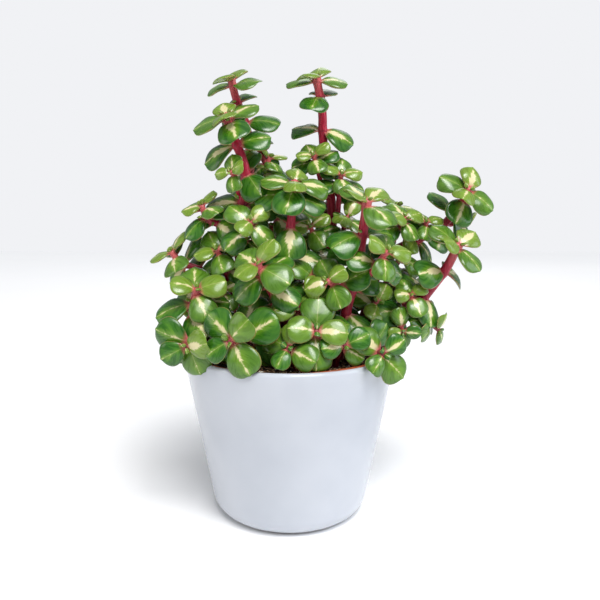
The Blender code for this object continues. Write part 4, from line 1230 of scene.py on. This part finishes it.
# Succulent leaf. Waxy cuticle, IOR 1.4, over water-filled tissue that glows a little
# when lit. The stripe is tissue with no green in it, so its edge breaks up in streaks
# that follow the veins, forwards and out from the middle.
leaf_skin, tree, shader = new_finish(
    "variegated_leaf_skin",
    Roughness=0.32, IOR=1.4, Subsurface_Weight=0.05, Subsurface_Scale=0.8 * MM,
    Coat_Weight=0.35, Coat_Roughness=0.08,
)
shader.inputs["Subsurface Radius"].default_value = (0.6, 1.0, 0.25)
spot = add(tree, "ShaderNodeAttribute", attribute_name="leaf_spot").outputs["Vector"]
own = add(tree, "ShaderNodeAttribute", attribute_name="leaf_self").outputs["Vector"]
spot_axes = add(tree, "ShaderNodeSeparateXYZ", {"Vector": spot}).outputs
own_axes = add(tree, "ShaderNodeSeparateXYZ", {"Vector": own}).outputs
from_middle = add(tree, "ShaderNodeMath", {0: spot_axes["X"]}, operation="ABSOLUTE").outputs[0]

# Streaks: a pattern drawn in the leaf's own widths and lengths, sheared so that it runs
# out from the midrib, and moved to another part of the pattern for each leaf.
VEIN_SHEAR = -0.55
PATTERN_SPREAD = 91.0
sheared = add(
    tree, "ShaderNodeMath", {0: from_middle, 1: VEIN_SHEAR, 2: spot_axes["Y"]}, operation="MULTIPLY_ADD"
).outputs[0]
leaf_offset = add(
    tree, "ShaderNodeMath", {0: own_axes["X"], 1: PATTERN_SPREAD}, operation="MULTIPLY"
).outputs[0]
streak_place = add(
    tree, "ShaderNodeCombineXYZ", {"X": spot_axes["X"], "Y": sheared, "Z": leaf_offset}
).outputs["Vector"]
fine_place = add(
    tree, "ShaderNodeMapping", {"Vector": streak_place, "Scale": (3.0, 26.0, 1.0)}
).outputs["Vector"]
broad_place = add(
    tree, "ShaderNodeMapping", {"Vector": streak_place, "Scale": (1.6, 5.0, 1.0)}
).outputs["Vector"]
fine = add(tree, "ShaderNodeTexNoise", {"Vector": fine_place, "Scale": 1.0, "Detail": 2}).outputs["Fac"]
broad = add(tree, "ShaderNodeTexNoise", {"Vector": broad_place, "Scale": 1.0, "Detail": 2}).outputs["Fac"]
jagged = add(tree, "ShaderNodeMath", {0: fine, 1: 0.55, 2: broad}, operation="MULTIPLY_ADD").outputs[0]
ragged = add(tree, "ShaderNodeMath", {0: jagged, 1: 0.78}, operation="SUBTRACT").outputs[0]

# How wide the stripe is on this leaf, narrowing towards the tip.
stripe_width = add(
    tree, "ShaderNodeMapRange", {"Value": own_axes["Z"], "To Min": -0.15, "To Max": 0.32}
).outputs["Result"]
tapering = add(
    tree, "ShaderNodeMapRange",
    {"Value": spot_axes["Y"], "From Min": 0.35, "From Max": 0.98, "To Min": 1.0, "To Max": 0.1},
    interpolation_type="SMOOTHSTEP",
).outputs["Result"]
stripe_here = add(tree, "ShaderNodeMath", {0: stripe_width, 1: tapering}, operation="MULTIPLY").outputs[0]
STRIPE_RAGGEDNESS = 0.45
stripe_edge = add(
    tree, "ShaderNodeMath", {0: ragged, 1: STRIPE_RAGGEDNESS, 2: stripe_here}, operation="MULTIPLY_ADD"
).outputs[0]
inside_stripe = add(tree, "ShaderNodeMath", {0: stripe_edge, 1: from_middle}, operation="SUBTRACT").outputs[0]
cream_share = add(
    tree, "ShaderNodeMapRange", {"Value": inside_stripe, "From Min": -0.06, "From Max": 0.07},
    interpolation_type="SMOOTHSTEP",
).outputs["Result"]
midrib_share = add(
    tree, "ShaderNodeMapRange", {"Value": from_middle, "From Min": 0.03, "From Max": 0.0, "To Max": 0.35},
    interpolation_type="SMOOTHSTEP",
).outputs["Result"]
pale_share = add(tree, "ShaderNodeMath", {0: cream_share, 1: midrib_share}, operation="MAXIMUM").outputs[0]
lime_share = add(
    tree, "ShaderNodeMapRange", {"Value": inside_stripe, "From Min": -0.42, "From Max": 0.02},
    interpolation_type="SMOOTHSTEP",
).outputs["Result"]

# Green: a fresh mid green with paler and darker clouds, deeper on old leaves and, as painted shade, on leaves
# low over the mix.
clouds = add(
    tree, "ShaderNodeValToRGB", {"Fac": broad},
    stops=[(0.3, paint("255A10")), (0.5, paint("386E16")), (0.7, paint("4E821C"))],
)
age_and_low_shade = add(
    tree, "ShaderNodeMapRange", {"Value": own_axes["Y"], "From Min": 0.3, "From Max": 1.0, "To Max": 0.5}
)
aged_and_shaded = add(
    tree, "ShaderNodeMix", {0: age_and_low_shade.outputs["Result"], 6: clouds.outputs["Color"], 7: paint("1B4311")},
    data_type="RGBA",
)
# Darker green towards the edge: partly the leaf's own deeper edge green, partly painted shade where the domed
# leaf curves away.
margin_green_and_shade = add(
    tree, "ShaderNodeMapRange", {"Value": from_middle, "From Min": 0.35, "From Max": 1.0, "To Max": 0.55}
)
deepened_and_shaded = add(
    tree, "ShaderNodeMix", {0: margin_green_and_shade.outputs["Result"], 6: aged_and_shaded.outputs[2], 7: paint("1E5016")},
    data_type="RGBA",
)
lime_part = add(tree, "ShaderNodeMath", {0: lime_share, 1: 0.7}, operation="MULTIPLY").outputs[0]
limed = add(
    tree, "ShaderNodeMix", {0: lime_part, 6: deepened_and_shaded.outputs[2], 7: paint("709626")},
    data_type="RGBA",
)
young_share = add(
    tree, "ShaderNodeMapRange",
    {"Value": own_axes["Y"], "From Min": 0.0, "From Max": 0.3, "To Min": 0.5, "To Max": 0.0},
)
young = add(
    tree, "ShaderNodeMix", {0: young_share.outputs["Result"], 6: limed.outputs[2], 7: paint("8FA63A")},
    data_type="RGBA",
)
creamed = add(
    tree, "ShaderNodeMix", {0: pale_share, 6: young.outputs[2], 7: paint("DDD3A2")},
    data_type="RGBA",
)

# The underside is duller, with only a shadow of the stripe.
underside = add(
    tree, "ShaderNodeMapRange", {"Value": spot_axes["Z"], "From Min": -0.1, "From Max": -0.5, "To Max": 0.62}
)
turned_under = add(
    tree, "ShaderNodeMix", {0: underside.outputs["Result"], 6: creamed.outputs[2], 7: paint("829C48")},
    data_type="RGBA",
)

# The edge: a fine pale line, partly a painted highlight on the rounded rim, and russet in places.
edge_side = add(tree, "ShaderNodeMapRange", {"Value": from_middle, "From Min": 0.955, "From Max": 0.995})
russet_and_rim_highlight = add(
    tree, "ShaderNodeValToRGB", {"Fac": broad},
    stops=[(0.42, paint("B7C878")), (0.58, paint("C08A5C")), (0.7, paint("A8563F"))],
)
edge_part = add(tree, "ShaderNodeMath", {0: edge_side.outputs["Result"], 1: 0.6}, operation="MULTIPLY")
edged_and_highlighted = add(
    tree, "ShaderNodeMix", {0: edge_part.outputs[0], 6: turned_under.outputs[2], 7: russet_and_rim_highlight.outputs["Color"]},
    data_type="RGBA",
)

# The stalk blushes pink, more so on young leaves.
blush = add(
    tree, "ShaderNodeMapRange",
    {"Value": spot_axes["Y"], "From Min": 0.04, "From Max": 0.24, "To Min": 0.95, "To Max": 0.0},
    interpolation_type="SMOOTHSTEP",
)
blushed = add(
    tree, "ShaderNodeMix", {0: blush.outputs["Result"], 6: edged_and_highlighted.outputs[2], 7: paint("D2656C")},
    data_type="RGBA",
)
tree.links.new(blushed.outputs[2], shader.inputs["Base Color"])
gloss = add(
    tree, "ShaderNodeMapRange",
    {"Value": broad, "From Min": 0.3, "From Max": 0.7, "To Min": 0.22, "To Max": 0.36},
)
tree.links.new(gloss.outputs["Result"], shader.inputs["Roughness"])

for name, stem in grown.items():
    foliage = piece_of(f"{name}_leaves", leaf_form(stem), leaf_skin)
    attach(foliage, "root")
    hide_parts(name)

# ================================================================ floor, light, camera
# A pale seamless floor and a dim even room before a bright backdrop. A broad soft light
# high at the front does most, with a smaller one for the gloss and fills on three sides.

FLOOR_SIZE = 6.0
floor_form = bmesh.new()
bmesh.ops.create_grid(floor_form, x_segments=1, y_segments=1, size=FLOOR_SIZE / 2)
paper, tree, shader = new_finish("white_paper", Roughness=0.9)
place_on_floor = add(tree, "ShaderNodeTexCoord").outputs["Object"]
FLOOR_TONE = 0.4
fibre = add(tree, "ShaderNodeTexNoise", {"Vector": place_on_floor, "Scale": 1 / FLOOR_TONE, "Detail": 2})
paper_tone = add(
    tree, "ShaderNodeValToRGB", {"Fac": fibre.outputs["Fac"]},
    stops=[(0.3, paint("F9F9FA")), (0.7, paint("FBFBFB"))],
)
tree.links.new(paper_tone.outputs["Color"], shader.inputs["Base Color"])
floor = piece_of("floor", floor_form, paper)

ROOM_LIGHT = 0.36
world = bpy.data.worlds.new("dim_room")
world.use_nodes = True
room = world.node_tree.nodes["Background"]
room.inputs["Color"].default_value = paint("F1F5FC")
room.inputs["Strength"].default_value = ROOM_LIGHT
backdrop = add(world.node_tree, "ShaderNodeBackground", {"Color": paint("F1F2F5"), "Strength": 1.0})
seen = add(world.node_tree, "ShaderNodeLightPath").outputs["Is Camera Ray"]
either = add(
    world.node_tree, "ShaderNodeMixShader",
    {0: seen, 1: room.outputs["Background"], 2: backdrop.outputs["Background"]},
)
world.node_tree.links.new(either.outputs["Shader"], world.node_tree.nodes["World Output"].inputs["Surface"])
bpy.context.scene.world = world
bpy.context.scene.view_settings.view_transform = "Standard"


def softbox(name, place_at, aim, size, power, colour):
    """A square area light that faces a point."""
    light = bpy.data.lights.new(name, "AREA")
    light.size = size
    light.energy = power
    light.color = paint(colour)[:3]
    lamp = bpy.data.objects.new(name, light)
    lamp.location = place_at
    lamp.rotation_euler = (Vector(aim) - Vector(place_at)).to_track_quat("-Z", "Y").to_euler()
    bpy.context.scene.collection.objects.link(lamp)


overhead = bpy.data.lights.new("overhead_light", "SUN")
overhead.energy = 2.35
overhead.angle = math.radians(35)
lamp = bpy.data.objects.new("overhead_light", overhead)
lamp.rotation_euler = Vector((0.25, -0.64, 1.0)).to_track_quat("Z", "Y").to_euler()
bpy.context.scene.collection.objects.link(lamp)
softbox("key_light", (0.3, -0.6, 1.3), (0, 0, 0.15), 0.35, 4, "FFFDF8")
softbox("back_fill", (0.4, 1.6, 1.5), (0, 0, 0.1), 1.0, 4.0, "FFFFFF")
softbox("left_fill", (-0.9, -0.3, 0.5), (0, 0, 0.1), 0.5, 1.6, "FFF9F0")
softbox("right_fill", (0.9, -0.2, 0.5), (0, 0, 0.1), 0.5, 2.2, "EAF2FF")

EYE = Vector((0, -0.350, 0.1772))
LOOKING_DOWN = 7.8
camera_data = bpy.data.cameras.new("camera")
camera_data.sensor_width = 36
camera_data.lens = 34.8
camera_data.shift_x = 0.017
camera = bpy.data.objects.new("camera", camera_data)
camera.location = EYE
camera.rotation_euler = (math.radians(90 - LOOKING_DOWN), 0, 0)
bpy.context.scene.collection.objects.link(camera)
bpy.context.scene.camera = camera
